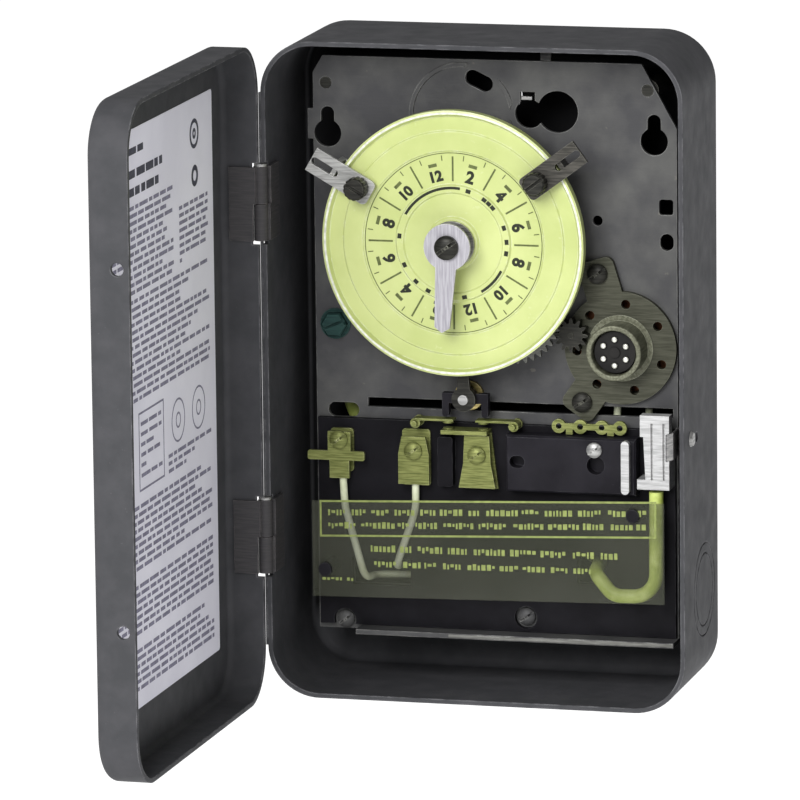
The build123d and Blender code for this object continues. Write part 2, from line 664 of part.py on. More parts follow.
with BuildPart() as arbor_nut:
    with BuildSketch(at(PLATE_BACK - 4)):
        with Locations((DIAL_X, DIAL_Z)):
            RegularPolygon(5.4, 6)
            Circle(2.6, mode=Mode.SUBTRACT)
    extrude(amount=4)
arbor_nut.part.label = "arbor_nut"
export_step(arbor_nut.part, "parts/arbor_nut.step")

with BuildPart() as dial_sleeve:
    with BuildSketch(turned(DIAL_X, DIAL_Z)):
        with BuildLine():
            Polyline(
                (SLEEVE_BORE_R, SLEEVE_BACK), (8.2, SLEEVE_BACK), (8.2, SLEEVE_BACK + 1),
                (SLEEVE_R, SLEEVE_BACK + 1), (SLEEVE_R, SLEEVE_FRONT), (SLEEVE_BORE_R, SLEEVE_FRONT),
                close=True,
            )
        make_face()
    revolve(axis=wall_normal(DIAL_X, DIAL_Z))
dial_sleeve.part.label = "dial_sleeve"
export_step(dial_sleeve.part, "parts/dial_sleeve.step")

RING_BACK = 39.3
with BuildPart() as dial_retaining_ring:
    with BuildSketch(at(RING_BACK)):
        with Locations((DIAL_X, DIAL_Z)):
            Circle(6.8)
            Circle(SLEEVE_R, mode=Mode.SUBTRACT)
    extrude(amount=1)
dial_retaining_ring.part.label = "dial_retaining_ring"
export_step(dial_retaining_ring.part, "parts/dial_retaining_ring.step")

with BuildPart() as dial:
    with BuildSketch(turned(DIAL_X, DIAL_Z)):
        with BuildLine():
            Polyline(
                (HUB_BORE_R, DIAL_BACK), (DIAL_R, DIAL_BACK), (DIAL_R, DIAL_FACE + 1.3),
                (DIAL_R - 0.5, DIAL_FACE + 1.5), (DIAL_R - 1.2, DIAL_FACE + 1.5),
                (DIAL_R - 1.9, DIAL_FACE), (33.6, DIAL_FACE), (33.2, DIAL_FACE + 0.4),
                (27.6, DIAL_FACE + 0.4), (27.2, DIAL_FACE), (17.6, DIAL_FACE), (17.1, DIAL_FACE + 0.7),
                (15.2, DIAL_FACE + 0.7), (14.7, DIAL_FACE + 0.3), (8.0, DIAL_FACE + 0.3),
                (7.4, RING_BACK - 0.2), (HUB_BORE_R, RING_BACK - 0.2), close=True,
            )
        make_face()
    revolve(axis=wall_normal(DIAL_X, DIAL_Z))
dial.part.label = "dial"
export_step(dial.part, "parts/dial.step")

with BuildPart() as dial_gear:
    with BuildSketch(at(GEAR_BACK)):
        with BuildLine():
            Polyline(
                *gear_outline(FINE_MODULE, DIAL_TEETH, IDLER_DIRECTION, DIAL_X, DIAL_Z), close=True,
            )
        make_face()
        with Locations((DIAL_X, DIAL_Z)):
            with PolarLocations(16, 6):
                Circle(4.2, mode=Mode.SUBTRACT)
    extrude(amount=1.5)
    with BuildSketch(at(SLEEVE_BACK + 1.2)):
        with Locations((DIAL_X, DIAL_Z)):
            Circle(9)
    extrude(amount=DIAL_BACK - SLEEVE_BACK - 1.2)
    with BuildSketch(at(SLEEVE_BACK)):
        with Locations((DIAL_X, DIAL_Z)):
            Circle(HUB_BORE_R)
    extrude(amount=DIAL_BACK - SLEEVE_BACK, mode=Mode.SUBTRACT)
dial_gear.part.label = "dial_gear"
export_step(dial_gear.part, "parts/dial_gear.step")

with BuildPart() as pull_spring:
    with BuildSketch(turned(DIAL_X, DIAL_Z)):
        with BuildLine():
            Polyline(
                (3.6, SLEEVE_FRONT + 0.05), (4.3, SLEEVE_FRONT + 0.05), (6.4, POINTER_BACK - 0.05),
                (5.7, POINTER_BACK - 0.05), close=True,
            )
        make_face()
    revolve(axis=wall_normal(DIAL_X, DIAL_Z))
pull_spring.part.label = "pull_spring"
export_step(pull_spring.part, "parts/pull_spring.step")

POINTER_ANGLE = -94.0    # the pointer hangs straight down, leaning a little to the left
with BuildPart() as time_pointer:
    with BuildSketch(spoke(POINTER_ANGLE, POINTER_BACK)):
        with BuildLine():
            Polyline((0, 3.4), (24, 2.3), (25.6, 0), (24, -2.3), (0, -3.4), close=True)
        make_face()
        Circle(7)
        Circle(1.6, mode=Mode.SUBTRACT)
    extrude(amount=1.0)
time_pointer.part.label = "time_pointer"
export_step(time_pointer.part, "parts/time_pointer.step")

pointer_screw = slotted_screws([(DIAL_X, DIAL_Z)], POINTER_BACK + 1, 3.6, 2.2, 1.55, 8)
pointer_screw.label = "pointer_screw"
export_step(pointer_screw, "parts/pointer_screw.step")

# ================================================================ trippers
ON_ANGLE, OFF_ANGLE = 150.0, 36.4
SCREW_AT = 32.4          # thumb screw's distance from the dial's axis
CLAMP_FACE = 40.1        # underside of the clamp, clear of the dial's raised edge
REACH = 48.7             # how far out the trippers' fingers sweep
CLAMP_INNER = 28.0
CLAMP_WIDTH, CLAMP_THICKNESS = 7.6, 1.2
CLAMP_WALL, CLAMP_WALL_THICKNESS = 40.4, 1.4
UNDER_FLANGE, UNDER_INNER = 34.4, 34.8    # the part of the clamp behind the dial
KNOB_R, KNOB_LENGTH = 3.4, 4.2
KNOB_BACK = CLAMP_FACE + 1.5


def wall_distance(angle):
    """A key that orders edges by how far out along the tripper's own radius they lie."""
    outward = spoke(angle, 0).x_dir
    return lambda edge: round(edge.center().dot(outward), 2)


def tripper(angle):
    """A clamp over the dial's edge, with a forked finger that trips the switch lever."""
    with BuildPart() as clamp:
        with BuildSketch(spoke(angle, CLAMP_FACE)):
            with Locations((CLAMP_INNER, 0)):
                Rectangle(REACH - CLAMP_INNER, CLAMP_WIDTH, align=(Align.MIN, Align.CENTER))
            with Locations((SCREW_AT, 0)):
                Circle(1.48, mode=Mode.SUBTRACT)
            with Locations((44.0, 0)):
                SlotOverall(9, 2.2, mode=Mode.SUBTRACT)
        extrude(amount=CLAMP_THICKNESS)
        with BuildSketch(spoke(angle, UNDER_FLANGE)):
            with Locations((CLAMP_WALL, 0)):
                Rectangle(CLAMP_WALL_THICKNESS, CLAMP_WIDTH, align=(Align.MIN, Align.CENTER))
        extrude(amount=CLAMP_FACE - UNDER_FLANGE)
        with BuildSketch(spoke(angle, UNDER_FLANGE)):
            with Locations((UNDER_INNER, 0)):
                reach = CLAMP_WALL + CLAMP_WALL_THICKNESS - UNDER_INNER
                Rectangle(reach, CLAMP_WIDTH, align=(Align.MIN, Align.CENTER))
        extrude(amount=CLAMP_THICKNESS)
        fillet(clamp.edges().filter_by(Axis.Y).group_by(wall_distance(angle))[0], 1.5)
    return clamp.part


def thumb_screw(angle):
    """A knurled screw that pinches the tripper to the dial."""
    with BuildPart() as screw:
        with BuildSketch(spoke(angle, 38.4)):
            with Locations((SCREW_AT, 0)):
                Circle(1.4)
        extrude(amount=KNOB_BACK - 38.4)
        with BuildSketch(spoke(angle, KNOB_BACK)):
            with Locations((SCREW_AT, 0)):
                Circle(KNOB_R)
        extrude(amount=KNOB_LENGTH)
        chamfer(screw.faces().sort_by(Axis.Y)[0].edges(), 0.6)
        with BuildSketch(spoke(angle, KNOB_BACK)):
            with Locations((SCREW_AT, 0)):
                with PolarLocations(KNOB_R + 0.15, 14):
                    Circle(0.42)
        extrude(amount=KNOB_LENGTH, mode=Mode.SUBTRACT)
        with BuildSketch(spoke(angle, KNOB_BACK + KNOB_LENGTH)):
            with Locations((SCREW_AT, 0)):
                Rectangle(10, 1.0)
        extrude(amount=-1.2, mode=Mode.SUBTRACT)
    return screw.part


on_tripper = tripper(ON_ANGLE)
on_tripper.label = "on_tripper"
export_step(on_tripper, "parts/on_tripper.step")

on_thumb_screw = thumb_screw(ON_ANGLE)
on_thumb_screw.label = "on_thumb_screw"
export_step(on_thumb_screw, "parts/on_thumb_screw.step")

off_tripper = tripper(OFF_ANGLE)
off_tripper.label = "off_tripper"
export_step(off_tripper, "parts/off_tripper.step")

off_thumb_screw = thumb_screw(OFF_ANGLE)
off_thumb_screw.label = "off_thumb_screw"
export_step(off_thumb_screw, "parts/off_thumb_screw.step")

# ================================================================ switch
NOSE_OFFSET = 6.0        # each nose of the rocker is this far from its shaft
NOSE_Z = -14.2
BLADE_TOP = -15.7
BLADE_THICKNESS = 0.6
BLADE_PIVOT = 15.0       # distance of each blade's root from the shaft
BLADE_BACK, BLADE_WIDTH = 28.6, 4.0
TIP_GAP = 3.4            # each blade's tip stops this far from the shaft's line

with BuildPart() as lever_bush:
    with BuildSketch(turned(LEVER_X, LEVER_Z)):
        with BuildLine():
            Polyline(
                (1.56, 21), (3, 21), (3, PLATE_FACE), (4.4, PLATE_FACE), (4.4, 26.4),
                (1.56, 26.4), close=True,
            )
        make_face()
    revolve(axis=wall_normal(LEVER_X, LEVER_Z))
lever_bush.part.label = "lever_bush"
export_step(lever_bush.part, "parts/lever_bush.step")

with BuildPart() as lever_shaft:
    with BuildSketch(turned(LEVER_X, LEVER_Z)):
        with BuildLine():
            Polyline(
                (0, 19.8), (3, 19.8), (3, 20.8), (LEVER_SHAFT_R, 20.8), (LEVER_SHAFT_R, 34),
                (0, 34), close=True,
            )
        make_face()
    revolve(axis=wall_normal(LEVER_X, LEVER_Z))
lever_shaft.part.label = "lever_shaft"
export_step(lever_shaft.part, "parts/lever_shaft.step")

with BuildPart() as manual_lever:
    with BuildSketch(at(31.8)):
        with Locations((LEVER_X, LEVER_Z)):
            Circle(3.6)
            with Locations((0, 4.5)):
                Trapezoid(4.6, 9, 84)
            Circle(LEVER_SHAFT_R, mode=Mode.SUBTRACT)
    extrude(amount=1.4)
manual_lever.part.label = "manual_lever"
export_step(manual_lever.part, "parts/manual_lever.step")

with BuildPart() as switch_rocker:
    with BuildSketch(at(BLADE_BACK)):
        with Locations((LEVER_X, LEVER_Z)):
            Circle(3.4)
            Rectangle(2 * NOSE_OFFSET + 2, 3)
        for side in (-1, 1):
            with Locations((LEVER_X + side * NOSE_OFFSET, NOSE_Z)):
                Circle(1)
            with Locations((LEVER_X + side * NOSE_OFFSET, (NOSE_Z + LEVER_Z) / 2)):
                Rectangle(2, LEVER_Z - NOSE_Z)
        with Locations((LEVER_X, LEVER_Z)):
            Circle(LEVER_SHAFT_R, mode=Mode.SUBTRACT)
    extrude(amount=2.6)
switch_rocker.part.label = "switch_rocker"
export_step(switch_rocker.part, "parts/switch_rocker.step")


def contact_blade(side):
    """A spring blade whose root curls round its pivot; side is -1 for left, 1 for right."""
    pivot = LEVER_X + side * BLADE_PIVOT
    tip = LEVER_X + side * TIP_GAP
    with BuildPart() as blade:
        with BuildSketch(at(BLADE_BACK)):
            with Locations(((pivot + tip) / 2, BLADE_TOP - BLADE_THICKNESS / 2)):
                Rectangle(abs(pivot - tip), BLADE_THICKNESS)
            with Locations((pivot, BLADE_TOP - 1.5)):
                Circle(1.5)
                Circle(0.86, mode=Mode.SUBTRACT)
        extrude(amount=BLADE_WIDTH)
        with BuildSketch(Plane.XY.offset(BLADE_TOP - BLADE_THICKNESS)):
            with Locations((tip + side * 1.9, -BLADE_BACK - BLADE_WIDTH / 2)):
                Circle(1.6)
        extrude(amount=-0.7)
    return blade.part


left_blade = contact_blade(-1)
left_blade.label = "left_blade"
export_step(left_blade, "parts/left_blade.step")

right_blade = contact_blade(1)
right_blade.label = "right_blade"
export_step(right_blade, "parts/right_blade.step")

# Posts at the blades' roots stand on brass strips; fixed contacts lie under the tips.
ROOT_Z = BLADE_TOP - 1.5
with BuildPart() as blade_posts:
    with BuildSketch(at(BOARD_FACE)):
        with Locations((LEVER_X - BLADE_PIVOT, ROOT_Z), (LEVER_X + BLADE_PIVOT, ROOT_Z)):
            Circle(0.8)
    extrude(amount=7)
    with BuildSketch(at(BOARD_FACE)):
        with Locations((LEVER_X - BLADE_PIVOT, ROOT_Z), (LEVER_X + BLADE_PIVOT, ROOT_Z)):
            Circle(1.6)
    extrude(amount=1.2)
blade_posts.part.label = "blade_posts"
export_step(blade_posts.part, "parts/blade_posts.step")

CONTACT_TOP = BLADE_TOP - BLADE_THICKNESS - 0.7 - 1.9
with BuildPart() as fixed_contacts:
    with BuildSketch(at(BOARD_FACE)):
        with Locations((LEVER_X, CONTACT_TOP)):
            Rectangle(14, 1.2, align=(Align.CENTER, Align.MAX))
    extrude(amount=6.4)
    with BuildSketch(Plane.XY.offset(CONTACT_TOP)):
        for side in (-1, 1):
            with Locations((LEVER_X + side * (TIP_GAP + 1.9), -BLADE_BACK - BLADE_WIDTH / 2)):
                Circle(1.5)
    extrude(amount=0.5)
fixed_contacts.part.label = "fixed_contacts"
export_step(fixed_contacts.part, "parts/fixed_contacts.step")

# ================================================================ terminals
BOARD_LEFT, BOARD_RIGHT = -53.0, 56.0
BOARD_BOTTOM, BOARD_TOP = -80.3, -17.6
LEFT_X, MIDDLE_X, WIDE_X = -45.4, -22.6, -3.2
TERMINAL_SCREWS = [(LEFT_X, -23.2), (MIDDLE_X, -25.8), (WIDE_X, -26.4)]

with BuildPart() as terminal_board:
    with BuildSketch(at(PLATE_FACE)):
        with Locations((BOARD_LEFT, BOARD_BOTTOM)):
            Rectangle(BOARD_RIGHT - BOARD_LEFT, BOARD_TOP - BOARD_BOTTOM, align=(Align.MIN, Align.MIN))
        with Locations((WINDOW_X, WINDOW_Z)):
            Rectangle(18, 8, mode=Mode.SUBTRACT)
        with Locations((EARTH_WINDOW_X, EARTH_WINDOW_Z)):
            Rectangle(10, 9, mode=Mode.SUBTRACT)
        with Locations(*TERMINAL_SCREWS):
            Circle(1.3, mode=Mode.SUBTRACT)
        # clearance round the plate's screws
        with Locations(*LOW_SCREWS):
            Circle(LOW_HEAD_R + 0.8, mode=Mode.SUBTRACT)
    extrude(amount=BOARD_FACE - PLATE_FACE)
    # dividing wall between the middle and the wide terminal
    with BuildSketch(at(BOARD_FACE)):
        with Locations((-13.2, -29)):
            RectangleRounded(4.6, 15, 0.8)
    extrude(amount=3.4)
terminal_board.part.label = "terminal_board"
export_step(terminal_board.part, "parts/terminal_board.step")

STRIP = 1.0
with BuildPart() as terminal_strips:
    with BuildSketch(at(BOARD_FACE)):
        with Locations((LEFT_X, -27)):
            RectangleRounded(7, 13, 1)
        with Locations((MIDDLE_X, -28.4)):
            RectangleRounded(8.6, 17, 1)
        with BuildLine():
            Polyline(
                (WIDE_X - 3.6, CONTACT_TOP - 1.2), (WIDE_X + 3.6, CONTACT_TOP - 1.2),
                (WIDE_X + 5.6, -37), (WIDE_X - 5.6, -37), close=True,
            )
        make_face()
        with Locations(*TERMINAL_SCREWS):
            Circle(1.3, mode=Mode.SUBTRACT)
    extrude(amount=STRIP)
terminal_strips.part.label = "terminal_strips"
export_step(terminal_strips.part, "parts/terminal_strips.step")

SADDLE_BACK = BOARD_FACE + STRIP + 2.4   # the saddles stand off by the thickness of a wire
with BuildPart() as terminal_saddles:
    with BuildSketch(at(SADDLE_BACK)):
        with Locations((LEFT_X - 1, -28.2)):
            RectangleRounded(17.4, 2.8, 0.6)
        with Locations((LEFT_X, -24.9)):
            Rectangle(7, 8)
        with Locations((LEFT_X, -31.5)):
            Rectangle(6, 7)
        with BuildLine():
            Polyline(
                (MIDDLE_X - 3.6, -21.6), (MIDDLE_X + 3.6, -21.6), (MIDDLE_X + 4.7, -27),
                (MIDDLE_X + 4.7, -36), (MIDDLE_X - 4.7, -36), (MIDDLE_X - 4.7, -27), close=True,
            )
        make_face()
        with BuildLine():
            Polyline(
                (WIDE_X - 3.8, -20.6), (WIDE_X + 3.8, -20.6), (WIDE_X + 4.2, -29),
                (WIDE_X + 5.6, -36.4), (WIDE_X - 5.6, -36.4), (WIDE_X - 4.2, -29), close=True,
            )
        make_face()
        with Locations(*TERMINAL_SCREWS):
            Circle(1.3, mode=Mode.SUBTRACT)
    extrude(amount=1.1)
terminal_saddles.part.label = "terminal_saddles"
export_step(terminal_saddles.part, "parts/terminal_saddles.step")

SCREW_SEAT = SADDLE_BACK + 1.1
terminal_screws = slotted_screws(TERMINAL_SCREWS, SCREW_SEAT, 2.7, 1.8, 1.25, SCREW_SEAT - PLATE_FACE)
terminal_screws.label = "terminal_screws"
export_step(terminal_screws, "parts/terminal_screws.step")

BLOCK_LEFT, BLOCK_RIGHT = 6.0, 45.4
BLOCK_TOP, BLOCK_BOTTOM = -19.6, -36.6
BLOCK_FACE = 33.0
BLOCK_SCREW = (33.0, -23.1)
with BuildPart() as motor_terminal_block:
    with BuildSketch(at(BOARD_FACE)):
        with Locations((BLOCK_LEFT, BLOCK_BOTTOM)):
            Rectangle(BLOCK_RIGHT - BLOCK_LEFT, BLOCK_TOP - BLOCK_BOTTOM, align=(Align.MIN, Align.MIN))
    extrude(amount=BLOCK_FACE - BOARD_FACE)
    chamfer(motor_terminal_block.faces().sort_by(Axis.Y)[0].edges(), 0.6)
    with BuildSketch(at(BLOCK_FACE)):
        with Locations((9.4, -27.6)):
            SlotOverall(4.6, 3.6)
        with Locations((33.3, -27.8)):
            Circle(2.7)
    extrude(amount=-4, mode=Mode.SUBTRACT)
    with BuildSketch(at(BLOCK_FACE)):
        with Locations(BLOCK_SCREW):
            Circle(1.25)
    extrude(amount=-5, mode=Mode.SUBTRACT)
motor_terminal_block.part.label = "motor_terminal_block"
export_step(motor_terminal_block.part, "parts/motor_terminal_block.step")

block_screw = slotted_screws([BLOCK_SCREW], BLOCK_FACE, 2.3, 1.5, 1.2, 4.5)
block_screw.label = "block_screw"
export_step(block_screw, "parts/block_screw.step")

# Brass links with eyelets along the top of the block
with BuildPart() as jumper_links:
    with BuildSketch(at(BOARD_FACE + 2)):
        for x in (21.5, 28.0, 34.5, 40.0):
            with Locations((x, -16.9)):
                Circle(2.1)
        with Locations((30.7, -16.9)):
            Rectangle(18.5, 1.8)
        for x in (21.5, 28.0, 34.5, 40.0):
            with Locations((x, -16.9)):
                Circle(0.9, mode=Mode.SUBTRACT)
    extrude(amount=1.2)
    with BuildSketch(at(BOARD_FACE)):
        with Locations((24.7, -17.4), (37.2, -17.4)):
            Rectangle(2, 1.8, align=(Align.CENTER, Align.MAX))
    extrude(amount=3.2)
    with BuildSketch(at(BOARD_FACE + 2)):
        with Locations((24.7, -16.9), (37.2, -16.9)):
            Rectangle(2, 2.4, align=(Align.CENTER, Align.MAX))
    extrude(amount=1.2)
jumper_links.part.label = "jumper_links"
export_step(jumper_links.part, "parts/jumper_links.step")

with BuildPart() as block_clip:
    with BuildSketch(at(BLOCK_FACE)):
        with Locations((42.6, -27.8)):
            SlotOverall(16, 2.4, rotation=90)
    extrude(amount=2.0)
block_clip.part.label = "block_clip"
export_step(block_clip.part, "parts/block_clip.step")

# A folded metal terminal: a lower block with two grooves, a wider head, and a foot.
SIDE_LEFT, SIDE_RIGHT = 47.2, 56.0
SIDE_FACE = 35.0
with BuildPart() as side_terminal:
    with BuildSketch(at(BOARD_FACE)):
        with BuildLine():
            Polyline(
                (SIDE_LEFT - 0.9, -34), (SIDE_RIGHT, -34), (SIDE_RIGHT, -18.2), (SIDE_LEFT + 1, -18.2),
                (SIDE_LEFT + 1.6, -31), (SIDE_LEFT - 0.9, -31), close=True,
            )
        make_face()
    extrude(amount=SIDE_FACE - BOARD_FACE)
    with BuildSketch(at(BOARD_FACE + 4)):
        with Locations((SIDE_RIGHT, -18.2)):
            Rectangle(SIDE_RIGHT - SIDE_LEFT, 6.4, align=(Align.MAX, Align.MIN))
    extrude(amount=SIDE_FACE - BOARD_FACE - 4)
    with BuildSketch(at(SIDE_FACE)):
        with Locations((50.8, -22.6), (54.4, -22.6)):
            Rectangle(0.7, 17)
    extrude(amount=-1.0, mode=Mode.SUBTRACT)
side_terminal.part.label = "side_terminal"
export_step(side_terminal.part, "parts/side_terminal.step")

# ================================================================ insulating film
FILM_RIVETS = [(-49.0, -62.0), (45.0, -42.0)]
with BuildPart() as insulating_film:
    with BuildSketch(at(FILM_BACK)):
        with BuildLine():
            Polyline((-53.0, -70.4), (54.4, -68.4), (54.4, -38.0), (-53.0, -41.4), close=True)
        make_face()
        with Locations(*FILM_RIVETS):
            Circle(1.0, mode=Mode.SUBTRACT)
    extrude(amount=FILM_THICKNESS)
insulating_film.part.label = "insulating_film"
export_step(insulating_film.part, "parts/insulating_film.step")

with BuildPart() as film_rivets:
    with BuildSketch(at(BOARD_FACE)):
        with Locations(*FILM_RIVETS):
            Circle(2.2)
    extrude(amount=FILM_BACK - BOARD_FACE)
    with BuildSketch(at(FILM_BACK)):
        with Locations(*FILM_RIVETS):
            Circle(1.0)
    extrude(amount=FILM_THICKNESS)
    with BuildSketch(at(FILM_BACK + FILM_THICKNESS)):
        with Locations(*FILM_RIVETS):
            Circle(2.0)
    extrude(amount=0.8)
film_rivets.part.label = "film_rivets"
export_step(film_rivets.part, "parts/film_rivets.step")

# ================================================================ internal leads
# Points are (x, y, z); each lead runs from its terminal, through a window in the plate,
# to its other end behind the plate.
LEAD_R = 1.1
EARTH_R = 2.1
UNDER_SADDLE = -(BOARD_FACE + STRIP + 1.2)
CAN_BOTTOM = MOTOR_Z - CAN_R


def lead(points, radii, wire_r):
    """A round lead along straight runs joined by arcs."""
    with BuildPart() as wire:
        with BuildLine():
            route = FilletPolyline(*points, radius=radii)
        with BuildSketch(Plane(origin=route @ 0, z_dir=route % 0)):
            Circle(wire_r)
        sweep(path=route)
    return wire.part


left_lead = lead(
    [(LEFT_X, UNDER_SADDLE, -26), (LEFT_X + 1, UNDER_SADDLE, -44), (-38.5, UNDER_SADDLE, -65.5),
     (-37.5, -19, -66.5), (-12, -19, -65.5), (36, -19, -30), (37, -19, CAN_BOTTOM + 0.2)],
    [16, 4, 4, 20, 6], LEAD_R,
)
left_lead.label = "left_lead"
export_step(left_lead, "parts/left_lead.step")

middle_lead = lead(
    [(MIDDLE_X, UNDER_SADDLE, -28.4), (MIDDLE_X, UNDER_SADDLE, -44), (-29, UNDER_SADDLE, -62),
     (-30, -14.5, -63), (12, -14.5, -50), (45, -14.5, -27), (45.5, -14.5, CAN_BOTTOM + 0.2)],
    [16, 5, 6, 20, 8], LEAD_R,
)
middle_lead.label = "middle_lead"
export_step(middle_lead, "parts/middle_lead.step")

earth_lead = lead(
    [(51.2, -31.2, -35.2), (51, -31.2, -67), (38, -31.2, -67.2), (32, -29, -61), (30, -11, -60),
     (-18, -8, -46), (-47, -10, -20), (EARTH_X, -16.5, EARTH_Z - 2.4)],
    [7, 5.5, 4, 8, 20, 16], EARTH_R,
)
earth_lead.label = "earth_lead"
export_step(earth_lead, "parts/earth_lead.step")
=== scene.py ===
import json
import math
import random

import bmesh
import bpy
from mathutils import Matrix, Vector


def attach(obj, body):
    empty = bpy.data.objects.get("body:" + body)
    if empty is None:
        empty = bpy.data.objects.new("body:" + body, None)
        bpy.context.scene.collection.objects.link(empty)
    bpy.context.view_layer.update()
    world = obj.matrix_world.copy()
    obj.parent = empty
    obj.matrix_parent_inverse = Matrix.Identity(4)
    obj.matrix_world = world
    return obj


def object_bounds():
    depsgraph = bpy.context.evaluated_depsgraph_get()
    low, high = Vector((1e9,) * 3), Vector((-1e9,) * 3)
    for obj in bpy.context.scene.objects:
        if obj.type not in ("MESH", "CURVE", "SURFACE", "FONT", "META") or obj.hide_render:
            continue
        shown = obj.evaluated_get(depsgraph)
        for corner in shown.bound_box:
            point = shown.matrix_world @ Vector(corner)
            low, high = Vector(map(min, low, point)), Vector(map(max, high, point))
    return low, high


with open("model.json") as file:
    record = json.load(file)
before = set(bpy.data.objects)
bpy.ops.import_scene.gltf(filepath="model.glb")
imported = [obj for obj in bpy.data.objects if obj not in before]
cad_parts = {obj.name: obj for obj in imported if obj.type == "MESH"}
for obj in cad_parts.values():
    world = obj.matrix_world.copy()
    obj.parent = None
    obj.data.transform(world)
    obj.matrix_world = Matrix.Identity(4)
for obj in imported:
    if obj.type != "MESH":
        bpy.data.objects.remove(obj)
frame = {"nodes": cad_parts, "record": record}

MM = 0.001
CAD_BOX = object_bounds()
SCENE = bpy.context.scene
NODES = frame["nodes"]
DRAW = random.Random(7)

# Where things are on the part, in millimetres of its own frame. X is right and Z is up.
# A height is a distance out from the wall, so Y is minus the height.
DIAL_X, DIAL_Z = -8.0, 38.3
NUMBER_RING_HEIGHT = 38.0
RIDGE_HEIGHT = 38.7
DIAL_LIP_HEIGHT = 39.5
MOTOR_X, MOTOR_Z = 39.6, 6.6
ROTOR_PIN_CIRCLE = 3.9
ROTOR_PIN_HEIGHT = 34.6
PLATE_LIP_HEIGHT = 33.0
PLATE_LIP_TOP = 80.7
BOX_RIM_X = -63.45
FILM_HEIGHT = 35.3
DOOR_ANGLE = math.radians(91.0)
HINGE = Vector((-63.8, -48.0, 0.0))
LABEL_OFFSET = 11.25
PRINT = 0.04
OUT = Vector((0.0, -1.0, 0.0))

# The camera, in degrees and millimetres, fitted to the case's and the open door's outlines in the photograph.
CAMERA_AZIMUTH, CAMERA_ELEVATION, CAMERA_ROLL = 14.8165, 10.932, -0.6479
CAMERA_TARGET = Vector((-26.899, -30.0, -10.933))
CAMERA_DISTANCE = 2418.84
CAMERA_LENS, SENSOR_WIDTH = 366.99, 36.0


# ---------------------------------------------------------------- camera
def place_camera():
    azimuth, elevation, roll = (math.radians(a) for a in (CAMERA_AZIMUTH, CAMERA_ELEVATION, CAMERA_ROLL))
    back = Vector((math.sin(azimuth) * math.cos(elevation), -math.cos(azimuth) * math.cos(elevation),
                   math.sin(elevation)))
    level = Vector((math.cos(azimuth), math.sin(azimuth), 0.0))
    upright = back.cross(level)
    right = math.cos(roll) * level + math.sin(roll) * upright
    up = -math.sin(roll) * level + math.cos(roll) * upright
    data = bpy.data.cameras.new("camera")
    data.sensor_width = SENSOR_WIDTH
    data.lens = CAMERA_LENS
    data.clip_start, data.clip_end = 0.05, 60.0
    camera = bpy.data.objects.new("camera", data)
    place = Matrix((right, up, back)).transposed().to_4x4()
    place.translation = (CAMERA_TARGET + back * CAMERA_DISTANCE) * MM
    camera.matrix_world = place
    SCENE.collection.objects.link(camera)
    SCENE.camera = camera


# ---------------------------------------------------------------- materials
NOISE_ROUGHNESS = 0.55


